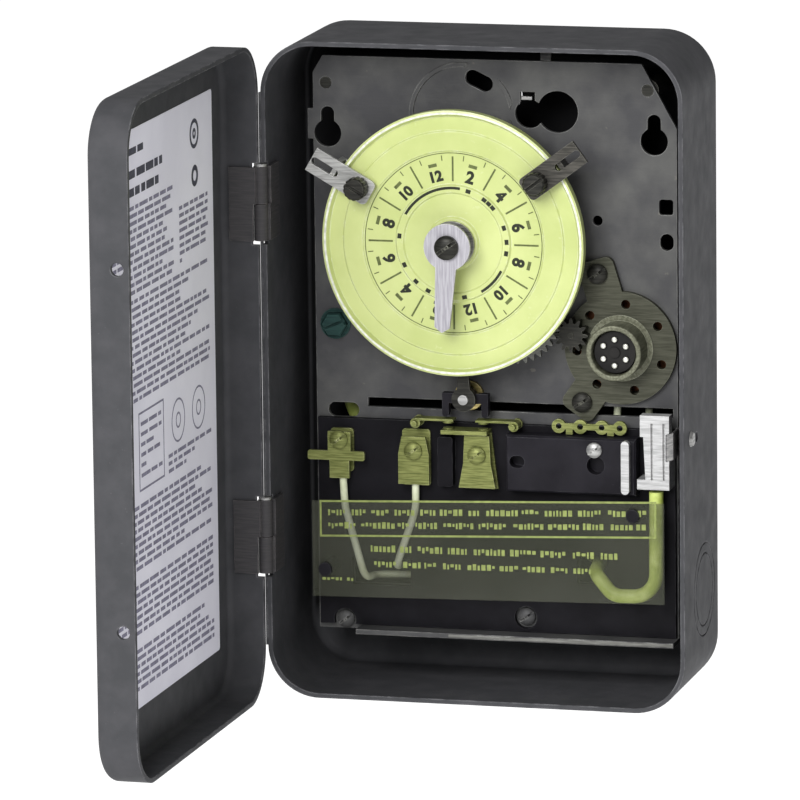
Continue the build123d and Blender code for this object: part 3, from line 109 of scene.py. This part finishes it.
class Surface:
    """A procedural material: a Principled shader whose colour, roughness and normal come from noise."""

    def __init__(self, name, metallic=0.0, specular=0.5, coat=0.0, coat_roughness=0.2, alpha=1.0):
        self.material = bpy.data.materials.new(name)
        self.material.use_nodes = True
        self.tree = self.material.node_tree
        self.shader = self.tree.nodes["Principled BSDF"]
        self.shader.inputs["Metallic"].default_value = metallic
        self.shader.inputs["Specular IOR Level"].default_value = specular
        self.shader.inputs["Coat Weight"].default_value = coat
        self.shader.inputs["Coat Roughness"].default_value = coat_roughness
        self.shader.inputs["Alpha"].default_value = alpha
        self.place = self.add("ShaderNodeTexCoord").outputs["Object"]
        self.colour = None
        self.roughness = None
        self.normal = None

    def add(self, kind, **settings):
        node = self.tree.nodes.new(kind)
        for key, value in settings.items():
            setattr(node, key, value)
        return node

    def join(self, source, target):
        self.tree.links.new(source, target)

    def stretched(self, stretch):
        mapping = self.add("ShaderNodeMapping")
        mapping.inputs["Scale"].default_value = stretch
        self.join(self.place, mapping.inputs["Vector"])
        return mapping.outputs["Vector"]

    def noise(self, scale, detail, stretch=None):
        node = self.add("ShaderNodeTexNoise")
        node.inputs["Scale"].default_value = scale
        node.inputs["Detail"].default_value = detail
        node.inputs["Roughness"].default_value = NOISE_ROUGHNESS
        self.join(self.stretched(stretch) if stretch else self.place, node.inputs["Vector"])
        return node.outputs["Fac"]

    def ramp(self, value, low, high, to_low=0.0, to_high=1.0):
        """A value taken from the span low..high to the span to_low..to_high, and held at its ends."""
        node = self.add("ShaderNodeMapRange")
        node.inputs["From Min"].default_value = low
        node.inputs["From Max"].default_value = high
        node.inputs["To Min"].default_value = to_low
        node.inputs["To Max"].default_value = to_high
        self.join(value, node.inputs["Value"])
        return node.outputs["Result"]

    def maths(self, kind, a, b):
        node = self.add("ShaderNodeMath", operation=kind)
        for socket, value in zip(node.inputs, (a, b)):
            if isinstance(value, (int, float)):
                socket.default_value = value
            else:
                self.join(value, socket)
        return node.outputs[0]

    def mix(self, factor, a, b):
        node = self.add("ShaderNodeMix", data_type="RGBA")
        self.join(factor, node.inputs[0])
        for socket, value in ((node.inputs[6], a), (node.inputs[7], b)):
            if isinstance(value, (tuple, list)):
                socket.default_value = (*value[:3], 1.0)
            else:
                self.join(value, socket)
        return node.outputs[2]

    def tones(self, first, second, scale, stretch=None, detail=4.0):
        """A base colour that drifts between two tones."""
        self.colour = self.mix(self.ramp(self.noise(scale, detail, stretch), 0.38, 0.64), first, second)

    def gloss(self, smooth, rough, scale, stretch=None):
        """A roughness that drifts between two values."""
        self.roughness = self.ramp(self.noise(scale, 4.0, stretch), 0.3, 0.7, smooth, rough)

    def speckle(self, colour, scale, share, amount):
        """Small spots of another colour over part of the surface."""
        spots = self.ramp(self.noise(scale, 2.0), 1.0 - share, 1.04 - share, 0.0, amount)
        self.colour = self.mix(spots, self.colour, colour)

    def edge_wear_and_highlight(self, colour, radius_mm, amount, polish=None):
        """A paler line along sharp edges, broken up by noise: partly worn paint, partly a painted highlight.
        polish is how much smoother the line is.
        """
        bevel = self.add("ShaderNodeBevel", samples=4)
        bevel.inputs["Radius"].default_value = radius_mm * MM
        geometry = self.add("ShaderNodeNewGeometry")
        dot = self.add("ShaderNodeVectorMath", operation="DOT_PRODUCT")
        self.join(bevel.outputs["Normal"], dot.inputs[0])
        self.join(geometry.outputs["Normal"], dot.inputs[1])
        edge = self.ramp(dot.outputs["Value"], 0.995, 0.85)
        broken = self.ramp(self.noise(260.0, 4.0), 0.38, 0.62)
        mask = self.maths("MULTIPLY", self.maths("MULTIPLY", edge, broken), amount)
        self.colour = self.mix(mask, self.colour, colour)
        if polish is not None:
            drop = self.maths("MULTIPLY", mask, polish)
            self.roughness = self.maths("SUBTRACT", self.roughness, drop)

    def paint_shade_behind_plate(self, share):
        """Painted shade on the inside of the case's back, which faces forward close to the wall, behind the
        plate: the colour is darkened there as if shadowed by the plate.
        """
        facing = self.add("ShaderNodeSeparateXYZ")
        self.join(self.add("ShaderNodeNewGeometry").outputs["True Normal"], facing.inputs[0])
        depth = self.add("ShaderNodeSeparateXYZ")
        self.join(self.place, depth.inputs[0])
        forward = self.ramp(facing.outputs["Y"], -0.5, -0.8)
        near_wall = self.ramp(depth.outputs["Y"], -12.0 * MM, -6.0 * MM)
        above_lip = self.ramp(depth.outputs["Z"], -86.0 * MM, -80.0 * MM)
        mask = self.maths("MULTIPLY", self.maths("MULTIPLY", forward, near_wall), above_lip)
        dark = self.add("ShaderNodeVectorMath", operation="SCALE")
        self.join(self.colour, dark.inputs[0])
        dark.inputs["Scale"].default_value = share
        self.colour = self.mix(mask, self.colour, dark.outputs["Vector"])

    def relief(self, *layers, soften_mm=0.0):
        """Bump layers, each (scale, depth in mm, stretch or None), over an edge softening."""
        if soften_mm:
            bevel = self.add("ShaderNodeBevel", samples=4)
            bevel.inputs["Radius"].default_value = soften_mm * MM
            self.normal = bevel.outputs["Normal"]
        for scale, depth_mm, stretch in layers:
            bump = self.add("ShaderNodeBump")
            bump.inputs["Strength"].default_value = 1.0
            bump.inputs["Distance"].default_value = depth_mm * MM
            self.join(self.noise(scale, 3.0, stretch), bump.inputs["Height"])
            if self.normal is not None:
                self.join(self.normal, bump.inputs["Normal"])
            self.normal = bump.outputs["Normal"]

    def done(self):
        self.join(self.colour, self.shader.inputs["Base Color"])
        self.join(self.roughness, self.shader.inputs["Roughness"])
        if self.normal is not None:
            self.join(self.normal, self.shader.inputs["Normal"])
        return self.material


def box_paint():
    s = Surface("box_paint", specular=0.03)
    s.tones((0.055, 0.056, 0.060), (0.068, 0.068, 0.073), 120.0, detail=7.0)
    s.speckle((0.12, 0.12, 0.125), 900.0, 0.27, 0.35)
    s.gloss(0.42, 0.54, 160.0)
    # Pale line along the rim and edges: partly worn paint, partly a painted highlight.
    s.edge_wear_and_highlight((0.24, 0.24, 0.25), 0.7, 0.75, 0.08)
    # Painted shade: the case's back wall behind the plate is darkened as if in shadow.
    s.paint_shade_behind_plate(0.14)
    s.relief((520.0, 0.05, None), (2400.0, 0.012, None), soften_mm=0.6)
    return s.done()


def zinc_plate():
    s = Surface("zinc_plate", metallic=0.2, specular=0.15)
    s.tones((0.060, 0.060, 0.063), (0.100, 0.100, 0.097), 62.0, detail=8.0)
    s.speckle((0.19, 0.18, 0.15), 330.0, 0.27, 0.35)
    s.gloss(0.40, 0.58, 110.0)
    # Pale edge line: partly wear, partly a painted highlight.
    s.edge_wear_and_highlight((0.36, 0.36, 0.34), 0.45, 0.8, 0.12)
    s.relief((600.0, 0.03, None), (180.0, 0.03, (1.0, 1.0, 9.0)), soften_mm=0.3)
    return s.done()


def bare_metal(name, low, high, smooth, rough, metallic=1.0, grain=(1.0, 1.0, 14.0), edge=None):
    """Brushed metal. grain stretches the noise, and so sets which way the brushing runs."""
    s = Surface(name, metallic=metallic, specular=0.25)
    s.tones(low, high, 160.0, stretch=grain)
    s.gloss(smooth, rough, 240.0, stretch=grain)
    if edge:
        # Pale edge line: partly wear, partly a painted highlight.
        s.edge_wear_and_highlight(edge, 0.3, 0.7, 0.1)
    s.relief((700.0, 0.01, grain), soften_mm=0.15)
    return s.done()


def plastic(name, low, high, smooth, rough, edge=None):
    s = Surface(name, specular=0.08)
    s.tones(low, high, 60.0, detail=5.0)
    s.speckle(tuple(3.0 * c + 0.01 for c in high), 1400.0, 0.26, 0.35)
    s.gloss(smooth, rough, 300.0)
    if edge:
        # Pale edge line: partly wear, partly a painted highlight.
        s.edge_wear_and_highlight(edge, 0.35, 0.7)
    s.relief((1300.0, 0.02, None), soften_mm=0.2)
    return s.done()


def dial_paint():
    s = Surface("dial_paint", specular=0.5, coat=0.25, coat_roughness=0.18)
    s.tones((0.44, 0.505, 0.17), (0.53, 0.59, 0.23), 40.0, detail=7.0)
    s.speckle((0.60, 0.64, 0.36), 500.0, 0.32, 0.30)
    s.gloss(0.30, 0.44, 120.0)
    # Near-white edge line on the dial: partly worn paint, partly a painted highlight on the lip.
    s.edge_wear_and_highlight((0.80, 0.82, 0.66), 0.6, 0.8)
    s.relief((300.0, 0.03, None), (1500.0, 0.008, None), soften_mm=0.25)
    return s.done()


def paper(name, low, high):
    s = Surface(name, specular=0.25)
    s.tones(low, high, 26.0, detail=8.0)
    s.speckle((0.42, 0.41, 0.46), 2600.0, 0.30, 0.35)
    s.gloss(0.62, 0.85, 200.0)
    s.relief((1800.0, 0.012, None), (60.0, 0.10, None))
    return s.done()


def film_clear():
    s = Surface("clear_film", specular=0.3, alpha=0.26)
    s.tones((0.060, 0.066, 0.042), (0.095, 0.100, 0.072), 22.0)
    s.gloss(0.34, 0.42, 12.0)
    return s.done()


def ink(name, colour, rough=0.6):
    s = Surface(name, specular=0.3)
    s.tones(tuple(0.7 * c for c in colour), colour, 700.0)
    s.gloss(rough - 0.1, rough + 0.1, 900.0)
    s.relief((2600.0, 0.004, None))
    return s.done()


def insulation(name, low, high):
    s = Surface(name, specular=0.45)
    s.tones(low, high, 220.0, detail=4.0)
    s.speckle(tuple(0.5 * c for c in low), 900.0, 0.30, 0.3)
    s.gloss(0.35, 0.5, 300.0)
    s.relief((900.0, 0.02, None))
    return s.done()


# Each metal's dark and light tones, its smoothest and roughest gloss, and the tone of its pale edges, which
# are partly wear and partly a painted highlight.
METALS = {
    "hinge_steel": dict(low=(0.046, 0.045, 0.047), high=(0.064, 0.060, 0.062), smooth=0.55, rough=0.70,
                        metallic=0.2, edge=(0.26, 0.24, 0.235)),
    "bright_steel": dict(low=(0.24, 0.24, 0.235), high=(0.42, 0.42, 0.41), smooth=0.34, rough=0.52,
                         metallic=0.6, edge=(0.60, 0.60, 0.58)),
    "spring_steel": dict(low=(0.22, 0.22, 0.22), high=(0.42, 0.41, 0.40), smooth=0.25, rough=0.40),
    "green_screw": dict(low=(0.010, 0.030, 0.028), high=(0.020, 0.058, 0.052), smooth=0.45, rough=0.60,
                        metallic=0.4, edge=(0.10, 0.20, 0.17)),
    "motor_steel": dict(low=(0.038, 0.039, 0.025), high=(0.072, 0.073, 0.052), smooth=0.45, rough=0.62,
                        metallic=0.2, edge=(0.22, 0.22, 0.17)),
    "copper_wire": dict(low=(0.28, 0.10, 0.05), high=(0.52, 0.24, 0.12), smooth=0.25, rough=0.40,
                        grain=(1.0, 16.0, 1.0)),
    "cup_metal": dict(low=(0.095, 0.097, 0.065), high=(0.19, 0.195, 0.14), smooth=0.34, rough=0.50,
                      metallic=0.3, grain=(9.0, 1.0, 9.0), edge=(0.62, 0.64, 0.50)),
    "brass": dict(low=(0.32, 0.26, 0.10), high=(0.56, 0.46, 0.20), smooth=0.28, rough=0.48,
                  edge=(0.8, 0.7, 0.4)),
    "contact_brass": dict(low=(0.115, 0.13, 0.036), high=(0.25, 0.27, 0.09), smooth=0.36, rough=0.55,
                          metallic=0.45, edge=(0.60, 0.62, 0.32)),
    "pointer_metal": dict(low=(0.31, 0.30, 0.33), high=(0.45, 0.44, 0.47), smooth=0.34, rough=0.50,
                          metallic=0.3, grain=(14.0, 1.0, 1.0), edge=(0.9, 0.9, 0.9)),
    "dark_steel": dict(low=(0.012, 0.012, 0.010), high=(0.034, 0.033, 0.028), smooth=0.36, rough=0.55,
                       metallic=0.4, edge=(0.22, 0.22, 0.18)),
    "tripper_bright": dict(low=(0.26, 0.26, 0.25), high=(0.46, 0.46, 0.44), smooth=0.30, rough=0.48,
                           metallic=0.5, edge=(0.70, 0.70, 0.68)),
    "tripper_dark": dict(low=(0.035, 0.034, 0.030), high=(0.085, 0.08, 0.07), smooth=0.30, rough=0.50,
                         metallic=0.6, edge=(0.3, 0.3, 0.26)),
    "worn_steel": dict(low=(0.11, 0.11, 0.10), high=(0.20, 0.20, 0.185), smooth=0.35, rough=0.50,
                       metallic=0.3, edge=(0.5, 0.5, 0.46)),
    "silvery_steel": dict(low=(0.36, 0.36, 0.36), high=(0.56, 0.56, 0.56), smooth=0.34, rough=0.52,
                          metallic=0.4, edge=(0.80, 0.80, 0.78)),
    "pin_metal": dict(low=(0.62, 0.62, 0.55), high=(0.86, 0.86, 0.78), smooth=0.20, rough=0.35, metallic=0.5),
}


def make_materials():
    return {name: bare_metal(name, **look) for name, look in METALS.items()} | {
        "box_paint": box_paint(),
        "zinc_plate": zinc_plate(),
        "dial_paint": dial_paint(),
        "clear_film": film_clear(),
        "label_paper": paper("label_paper", (0.72, 0.71, 0.80), (0.80, 0.79, 0.88)),
        "rotor_dark": plastic("rotor_dark", (0.010, 0.010, 0.010), (0.022, 0.021, 0.020), 0.35, 0.55),
        "dark_board": plastic("dark_board", (0.005, 0.0046, 0.006), (0.010, 0.0095, 0.012), 0.42, 0.60,
                              edge=(0.08, 0.08, 0.085)),
        "dark_plastic": plastic("dark_plastic", (0.009, 0.0083, 0.011), (0.017, 0.016, 0.020), 0.34, 0.52,
                                edge=(0.10, 0.10, 0.11)),
        "white_wire": insulation("white_wire", (0.66, 0.70, 0.47), (0.84, 0.88, 0.66)),
        "green_wire": insulation("green_wire", (0.46, 0.56, 0.10), (0.68, 0.78, 0.24)),
    }


# Nodes whose own wear differs from their slot's usual finish.
NODE_LOOKS = {"idler_gear": "worn_steel", "side_terminal": "silvery_steel", "block_clip": "silvery_steel"}


def dress_nodes(materials):
    """Each CAD node takes the detailed material of its slot in the record, or its own from NODE_LOOKS."""
    for part in frame["record"]["subparts"]:
        data = NODES[part["node"]].data
        data.materials.clear()
        data.materials.append(materials[NODE_LOOKS.get(part["node"], part["material_slot"])])
        for polygon in data.polygons:
            polygon.material_index = 0


# ---------------------------------------------------------------- mesh helpers
def piece(name, build, material, body):
    """A new mesh piece. build(bm) fills it in millimetres of the row frame."""
    bm = bmesh.new()
    build(bm)
    bmesh.ops.scale(bm, vec=(MM, MM, MM), verts=bm.verts)
    data = bpy.data.meshes.new(name)
    bm.to_mesh(data)
    bm.free()
    obj = bpy.data.objects.new(name, data)
    SCENE.collection.objects.link(obj)
    data.materials.append(material)
    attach(obj, body)


def front(x, z, height):
    """A point of the row frame from its place on the front view and its height out from the wall."""
    return Vector((x, -height, z))


def slab(bm, corners, normal, thickness):
    """A thin plate on a polygon, as printing stands on its sheet. corners run anticlockwise round normal."""
    low = [bm.verts.new(c) for c in corners]
    high = [bm.verts.new(c + normal * thickness) for c in corners]
    bm.faces.new(high)
    bm.faces.new(low[::-1])
    count = len(corners)
    for i in range(count):
        j = (i + 1) % count
        bm.faces.new((low[i], low[j], high[j], high[i]))


# ---------------------------------------------------------------- dial printing
def on_dial(radius, angle, height=NUMBER_RING_HEIGHT):
    """A point on the dial. The angle is in degrees clockwise from the top."""
    a = math.radians(angle)
    return front(DIAL_X + radius * math.sin(a), DIAL_Z + radius * math.cos(a), height)


def dial_arc(bm, inner, outer, start, end, height=NUMBER_RING_HEIGHT):
    steps = max(2, int(abs(end - start) / 3.0))
    for i in range(steps):
        a = start + (end - start) * i / steps
        b = start + (end - start) * (i + 1) / steps
        corners = [on_dial(inner, a, height), on_dial(inner, b, height), on_dial(outer, b, height),
                   on_dial(outer, a, height)]
        slab(bm, corners, OUT, PRINT)


def dial_bar(bm, inner, outer, angle, width, height=NUMBER_RING_HEIGHT):
    across = on_dial(width / 2.0, angle + 90.0, height) - on_dial(0.0, 0.0, height)
    corners = [on_dial(inner, angle, height) - across, on_dial(inner, angle, height) + across,
               on_dial(outer, angle, height) + across, on_dial(outer, angle, height) - across]
    slab(bm, corners, OUT, PRINT)


NUMERAL_WEIGHT = 0.22
NUMERAL_CIRCLE = 20.1
ONE_DIGIT_SIZE, TWO_DIGIT_SIZE = 5.0, 4.3


def numeral_mesh(text, size):
    """A figure as a thin solid mesh on the XY plane, centred, in millimetres."""
    curve = bpy.data.curves.new("figure", "FONT")
    curve.body = text
    curve.size = size
    curve.offset = NUMERAL_WEIGHT
    curve.align_x, curve.align_y = "CENTER", "CENTER"
    curve.resolution_u = 3
    curve.extrude = PRINT / 2.0
    holder = bpy.data.objects.new("figure", curve)
    SCENE.collection.objects.link(holder)
    bpy.context.view_layer.update()
    mesh = bpy.data.meshes.new_from_object(holder.evaluated_get(bpy.context.evaluated_depsgraph_get()))
    bpy.data.objects.remove(holder)
    bpy.data.curves.remove(curve)
    return mesh


def add_numerals(bm):
    """Even hours twice round, tops outward, one in each twelfth of the dial."""
    for k in range(12):
        angle = 15.0 + 30.0 * k
        text = str(2 * (k % 6) + 2)
        mesh = numeral_mesh(text, ONE_DIGIT_SIZE if len(text) == 1 else TWO_DIGIT_SIZE)
        start = len(bm.verts)
        bm.from_mesh(mesh)
        bm.verts.ensure_lookup_table()
        turn = Matrix.Rotation(math.radians(angle), 4, "Y")
        stand = Matrix.Rotation(math.radians(90.0), 4, "X")
        centre = on_dial(NUMERAL_CIRCLE, angle, NUMBER_RING_HEIGHT + PRINT / 2.0)
        place = Matrix.Translation(centre) @ turn @ stand
        bmesh.ops.transform(bm, matrix=place, verts=bm.verts[start:])
        bpy.data.meshes.remove(mesh)


# The dots printed on the dial's ridge, in degrees clockwise from the top.
RIDGE_DOTS = (17.0, 36.0, 42.0, 48.0, 72.0, 87.0, 99.0, 168.0, -84.0, -115.0, -136.0, -152.0)


def dial_print():
    black = ink("ink_black", (0.020, 0.024, 0.012))
    olive = ink("ink_olive", (0.12, 0.145, 0.045))
    pale = ink("paint_for_rim_highlight", (0.82, 0.84, 0.72), 0.4)

    def ridge_marks(bm):
        for start, end in ((-60.0, 8.0), (118.0, 149.0)):
            dial_arc(bm, 16.1, 16.9, start, end, RIDGE_HEIGHT)
        for angle in RIDGE_DOTS:
            dial_bar(bm, 15.7, 16.9, angle, 1.5, RIDGE_HEIGHT)

    def hour_lines(bm):
        """Long lines between the figures, a dash outside each figure and short quarter marks."""
        for k in range(12):
            dial_bar(bm, 18.4, 25.8, 30.0 * k, 0.55)
            dial_bar(bm, 23.1, 24.1, 15.0 + 30.0 * k, 2.6)
            for step in (7.5, 22.5):
                dial_bar(bm, 24.6, 26.2, 30.0 * k + step, 0.30)
        dial_arc(bm, 26.7, 26.95, 0.0, 360.0)

    # The pale ring on the dial's lip is a painted highlight, not worn paint.
    def rim_highlight_band(bm):
        dial_arc(bm, 38.45, 39.05, 0.0, 360.0, DIAL_LIP_HEIGHT)

    piece("dial_figures", add_numerals, black, "dial")
    piece("dial_marks", ridge_marks, black, "dial")
    piece("dial_lines", hour_lines, olive, "dial")
    # Painted highlight ring round the dial's lip.
    piece("dial_rim_painted_highlight", rim_highlight_band, pale, "dial")


# ---------------------------------------------------------------- rotor pins
def rotor_pins(materials):
    """Bright domes on the six pins of the rotor."""
    def build(bm):
        for k in range(6):
            a = math.radians(30.0 + 60.0 * k)
            dome = bmesh.ops.create_uvsphere(bm, u_segments=16, v_segments=8, radius=0.85)["verts"]
            bmesh.ops.scale(bm, vec=(1.0, 0.5, 1.0), verts=dome)
            centre = front(MOTOR_X + ROTOR_PIN_CIRCLE * math.cos(a), MOTOR_Z + ROTOR_PIN_CIRCLE * math.sin(a),
                           ROTOR_PIN_HEIGHT)
            bmesh.ops.translate(bm, vec=centre, verts=dome)
        for face in bm.faces:
            face.smooth = True

    piece("rotor_pins", build, materials["pin_metal"], "rotor")


# ---------------------------------------------------------------- plate lip
def plate_lip_painted_highlight(materials):
    """A painted highlight: a bright strip along the right part of the plate's forward lip, standing for light
    on the lip's top face.
    """
    def build(bm):
        bottom = -PLATE_LIP_TOP - 1.0
        outline = ((-12.0, bottom), (56.3, bottom), (56.3, -PLATE_LIP_TOP), (-12.0, -PLATE_LIP_TOP - 0.1))
        slab(bm, [front(x, z, PLATE_LIP_HEIGHT) for x, z in outline], OUT, PRINT)

    # This strip paints the light on the lip's top face as a highlight.
    piece("plate_lip_painted_highlight", build, materials["worn_steel"], "box")


# ---------------------------------------------------------------- seam bead
def seam_bead(materials):
    """A slim painted bead on the box's left rim, clear of the hinges, that closes the door's seam."""
    back, forward = -46.6, -47.95
    left = Vector((-1.0, 0.0, 0.0))

    def build(bm):
        for low, high in ((-83.0, -60.95), (-38.05, 39.05), (61.95, 83.0)):
            outline = ((forward, low), (forward, high), (back, high), (back, low))
            slab(bm, [Vector((BOX_RIM_X, y, z)) for y, z in outline], left, 0.68)

    piece("seam_bead", build, materials["box_paint"], "box")


# ---------------------------------------------------------------- film printing
def film_bar(bm, x0, x1, z0, z1, slope):
    """A printed bar on the film, with its top and bottom edges tilted together."""
    outline = ((x0, z0), (x1, z0), (x1, z1), (x0, z1))
    slab(bm, [front(x, z + slope * x, FILM_HEIGHT) for x, z in outline], OUT, PRINT)


def film_words(bm, x0, x1, z, tall, slope):
    """A row of letter-like strokes that spell nothing."""
    x = x0
    while x < x1 - 1.0:
        word_end = min(x1, x + DRAW.uniform(4.0, 10.0))
        while x < word_end - 0.6:
            width = DRAW.uniform(0.5, 1.3)
            top = z + tall * DRAW.uniform(0.75, 1.0)
            base = z + tall * DRAW.choice((0.0, 0.0, 0.35))
            film_bar(bm, x, x + width, base, top, slope)
            x += width + 0.42
        x = word_end + 1.3


# Each printed row's left end, right end, foot, letter height and slope, in millimetres on the front view.
FILM_ROWS = (
    (-48.0, 49.5, -43.9, 2.0, 0.036),
    (-48.0, 49.5, -47.9, 2.0, 0.036),
    (-35.0, 41.0, -55.8, 2.1, 0.01),
    (-34.0, 33.0, -60.4, 1.9, 0.01),
    (-50.0, -39.6, -65.3, 1.0, 0.0),
)


def film_print():
    print_ink = ink("ink_film", (0.27, 0.32, 0.095), 0.5)

    def build(bm):
        frame_slope, line = 0.036, 0.6
        left, right, top, bottom = -50.6, 52.1, -39.3, -50.4
        for z in (top - line, bottom):
            film_bar(bm, left, right, z, z + line, frame_slope)
        for x in (left, right - line):
            film_bar(bm, x, x + line, bottom + line, top - line, frame_slope)
        for row in FILM_ROWS:
            film_words(bm, *row)

    piece("film_print", build, print_ink, "box")


# ---------------------------------------------------------------- label printing
def on_label(u, z):
    """A point on the label's face, u across from the hinge and z up."""
    along = Vector((math.cos(DOOR_ANGLE), -math.sin(DOOR_ANGLE), 0.0))
    inward = Vector((-math.sin(DOOR_ANGLE), -math.cos(DOOR_ANGLE), 0.0))
    return HINGE + along * u + inward * LABEL_OFFSET + Vector((0.0, 0.0, z))


LABEL_OUT = Vector((math.sin(DOOR_ANGLE), math.cos(DOOR_ANGLE), 0.0))


def label_bar(bm, u0, u1, z0, z1):
    corners = [on_label(u0, z0), on_label(u0, z1), on_label(u1, z1), on_label(u1, z0)]
    slab(bm, corners, LABEL_OUT, PRINT)


def label_words(bm, u0, u1, z, tall):
    """A row of bars in place of words, filled from u1 back towards u0."""
    u = u1
    while u > u0 + 1.5:
        word = max(u0, u - DRAW.uniform(2.6, 8.5))
        label_bar(bm, word, u, z, z + tall)
        u = word - DRAW.uniform(0.9, 1.6)


def label_block(bm, u0, u1, top, bottom, pitch, tall):
    """Rows of bars, some of them cut short like the last line of a paragraph."""
    z = top - tall
    while z > bottom:
        end = u0 if DRAW.random() < 0.7 else u0 + DRAW.uniform(5.0, 30.0)
        label_words(bm, end, u1, z, tall)
        z -= pitch


def label_ring(bm, u, z, radius, width):
    count = 28
    for k in range(count):
        points = []
        for r, i in ((radius - width, k), (radius, k), (radius, k + 1), (radius - width, k + 1)):
            a = 2.0 * math.pi * i / count
            points.append(on_label(u + r * math.cos(a), z + r * math.sin(a)))
        slab(bm, points, LABEL_OUT, PRINT)


def label_frame(bm, u0, u1, z0, z1, width):
    label_bar(bm, u0, u1, z0, z0 + width)
    label_bar(bm, u0, u1, z1 - width, z1)
    label_bar(bm, u0, u0 + width, z0 + width, z1 - width)
    label_bar(bm, u1 - width, u1, z0 + width, z1 - width)


# Millimetres across from the hinge, then up. Headings: near end, far end, foot and height.
# Blocks: near end, far end, top, bottom, line pitch and line height.
LABEL_HEADINGS = ((76.0, 107.0, 78.2, 2.0), (58.0, 111.0, 71.4, 2.4), (64.0, 111.0, 66.2, 2.4))
LABEL_BLOCKS = (
    (50.8, 110.8, 63.4, 38.0, 2.2, 1.15),
    (16.8, 44.8, 56.0, 38.0, 2.2, 1.1),
    (16.8, 110.8, 36.4, 6.5, 2.2, 1.1),
    (64.8, 84.8, 0.0, -17.0, 3.0, 1.1),
    (16.8, 58.8, -14.5, -22.0, 2.2, 1.1),
    (16.8, 110.8, -23.6, -44.5, 2.2, 1.15),
    (16.8, 110.8, -46.6, -63.0, 2.2, 1.15),
    (16.8, 110.8, -65.2, -79.0, 2.2, 1.15),
)


def label_print():
    text_ink = ink("ink_label", (0.25, 0.24, 0.33), 0.7)
    heavy_ink = ink("ink_label_heavy", (0.07, 0.07, 0.10), 0.7)

    def headings(bm):
        for heading in LABEL_HEADINGS:
            label_words(bm, *heading)
        for z, radius, width in ((75.0, 4.4, 1.2), (75.0, 1.6, 1.0), (62.6, 3.2, 1.6)):
            label_ring(bm, 29.0, z, radius, width)

    def text_and_diagrams(bm):
        for block in LABEL_BLOCKS:
            label_block(bm, *block)
        for u in (28.8, 48.8):
            for radius in (6.5, 2.4):
                label_ring(bm, u, -6.0, radius, 0.6)
        for u0, u1 in ((62.8, 86.8), (92.8, 110.8)):
            label_frame(bm, u0, u1, -20.0, 3.0, 0.6)

    piece("label_heavy_print", headings, heavy_ink, "door")
    piece("label_text_lines", text_and_diagrams, text_ink, "door")


# ---------------------------------------------------------------- stage and light
# Lengths are in metres here.
FLOOR_HALF_WIDTH = 15.0
FLOOR_GAP = 0.16
WORLD_STRENGTH = 0.36
KEY_AZIMUTH, KEY_ELEVATION = -9.0, 27.0
KEY_DISTANCE, KEY_SIZE, KEY_WATTS = 1.7, 0.9, 29.0


def stage_material():
    material = bpy.data.materials.new("stage_white")
    material.use_nodes = True
    shader = material.node_tree.nodes["Principled BSDF"]
    shader.inputs["Base Color"].default_value = (0.60, 0.60, 0.60, 1.0)
    shader.inputs["Roughness"].default_value = 0.9
    shader.inputs["Specular IOR Level"].default_value = 0.0
    shader.inputs["Emission Color"].default_value = (1.0, 1.0, 1.0, 1.0)
    shader.inputs["Emission Strength"].default_value = 0.82
    return material


def make_floor():
    data = bpy.data.meshes.new("floor")
    bm = bmesh.new()
    bmesh.ops.create_grid(bm, x_segments=2, y_segments=2, size=FLOOR_HALF_WIDTH)
    bm.to_mesh(data)
    bm.free()
    floor = bpy.data.objects.new("floor", data)
    floor.location = (0.0, 0.0, CAD_BOX[0].z - FLOOR_GAP)
    SCENE.collection.objects.link(floor)
    data.materials.append(stage_material())


def key_light():
    """A square soft light aimed at the part. Azimuth 0 is in front, positive to the right."""
    a, e = math.radians(KEY_AZIMUTH), math.radians(KEY_ELEVATION)
    toward = Vector((math.sin(a) * math.cos(e), -math.cos(a) * math.cos(e), math.sin(e)))
    data = bpy.data.lights.new("key", "AREA")
    data.shape = "SQUARE"
    data.size = KEY_SIZE
    data.energy = KEY_WATTS
    light = bpy.data.objects.new("key", data)
    light.location = toward * KEY_DISTANCE
    light.rotation_mode = "QUATERNION"
    light.rotation_quaternion = toward.to_track_quat("Z", "Y")
    SCENE.collection.objects.link(light)


def light_scene():
    world = bpy.data.worlds.new("world")
    world.use_nodes = True
    background = world.node_tree.nodes["Background"]
    background.inputs["Color"].default_value = (1.0, 1.0, 1.0, 1.0)
    background.inputs["Strength"].default_value = WORLD_STRENGTH
    SCENE.world = world
    key_light()
    SCENE.view_settings.view_transform = "Standard"
    SCENE.view_settings.look = "None"


place_camera()
light_scene()
make_floor()
finishes = make_materials()
dress_nodes(finishes)
dial_print()
rotor_pins(finishes)
# Painted highlight along the plate's lip.
plate_lip_painted_highlight(finishes)
seam_bead(finishes)
film_print()
label_print()
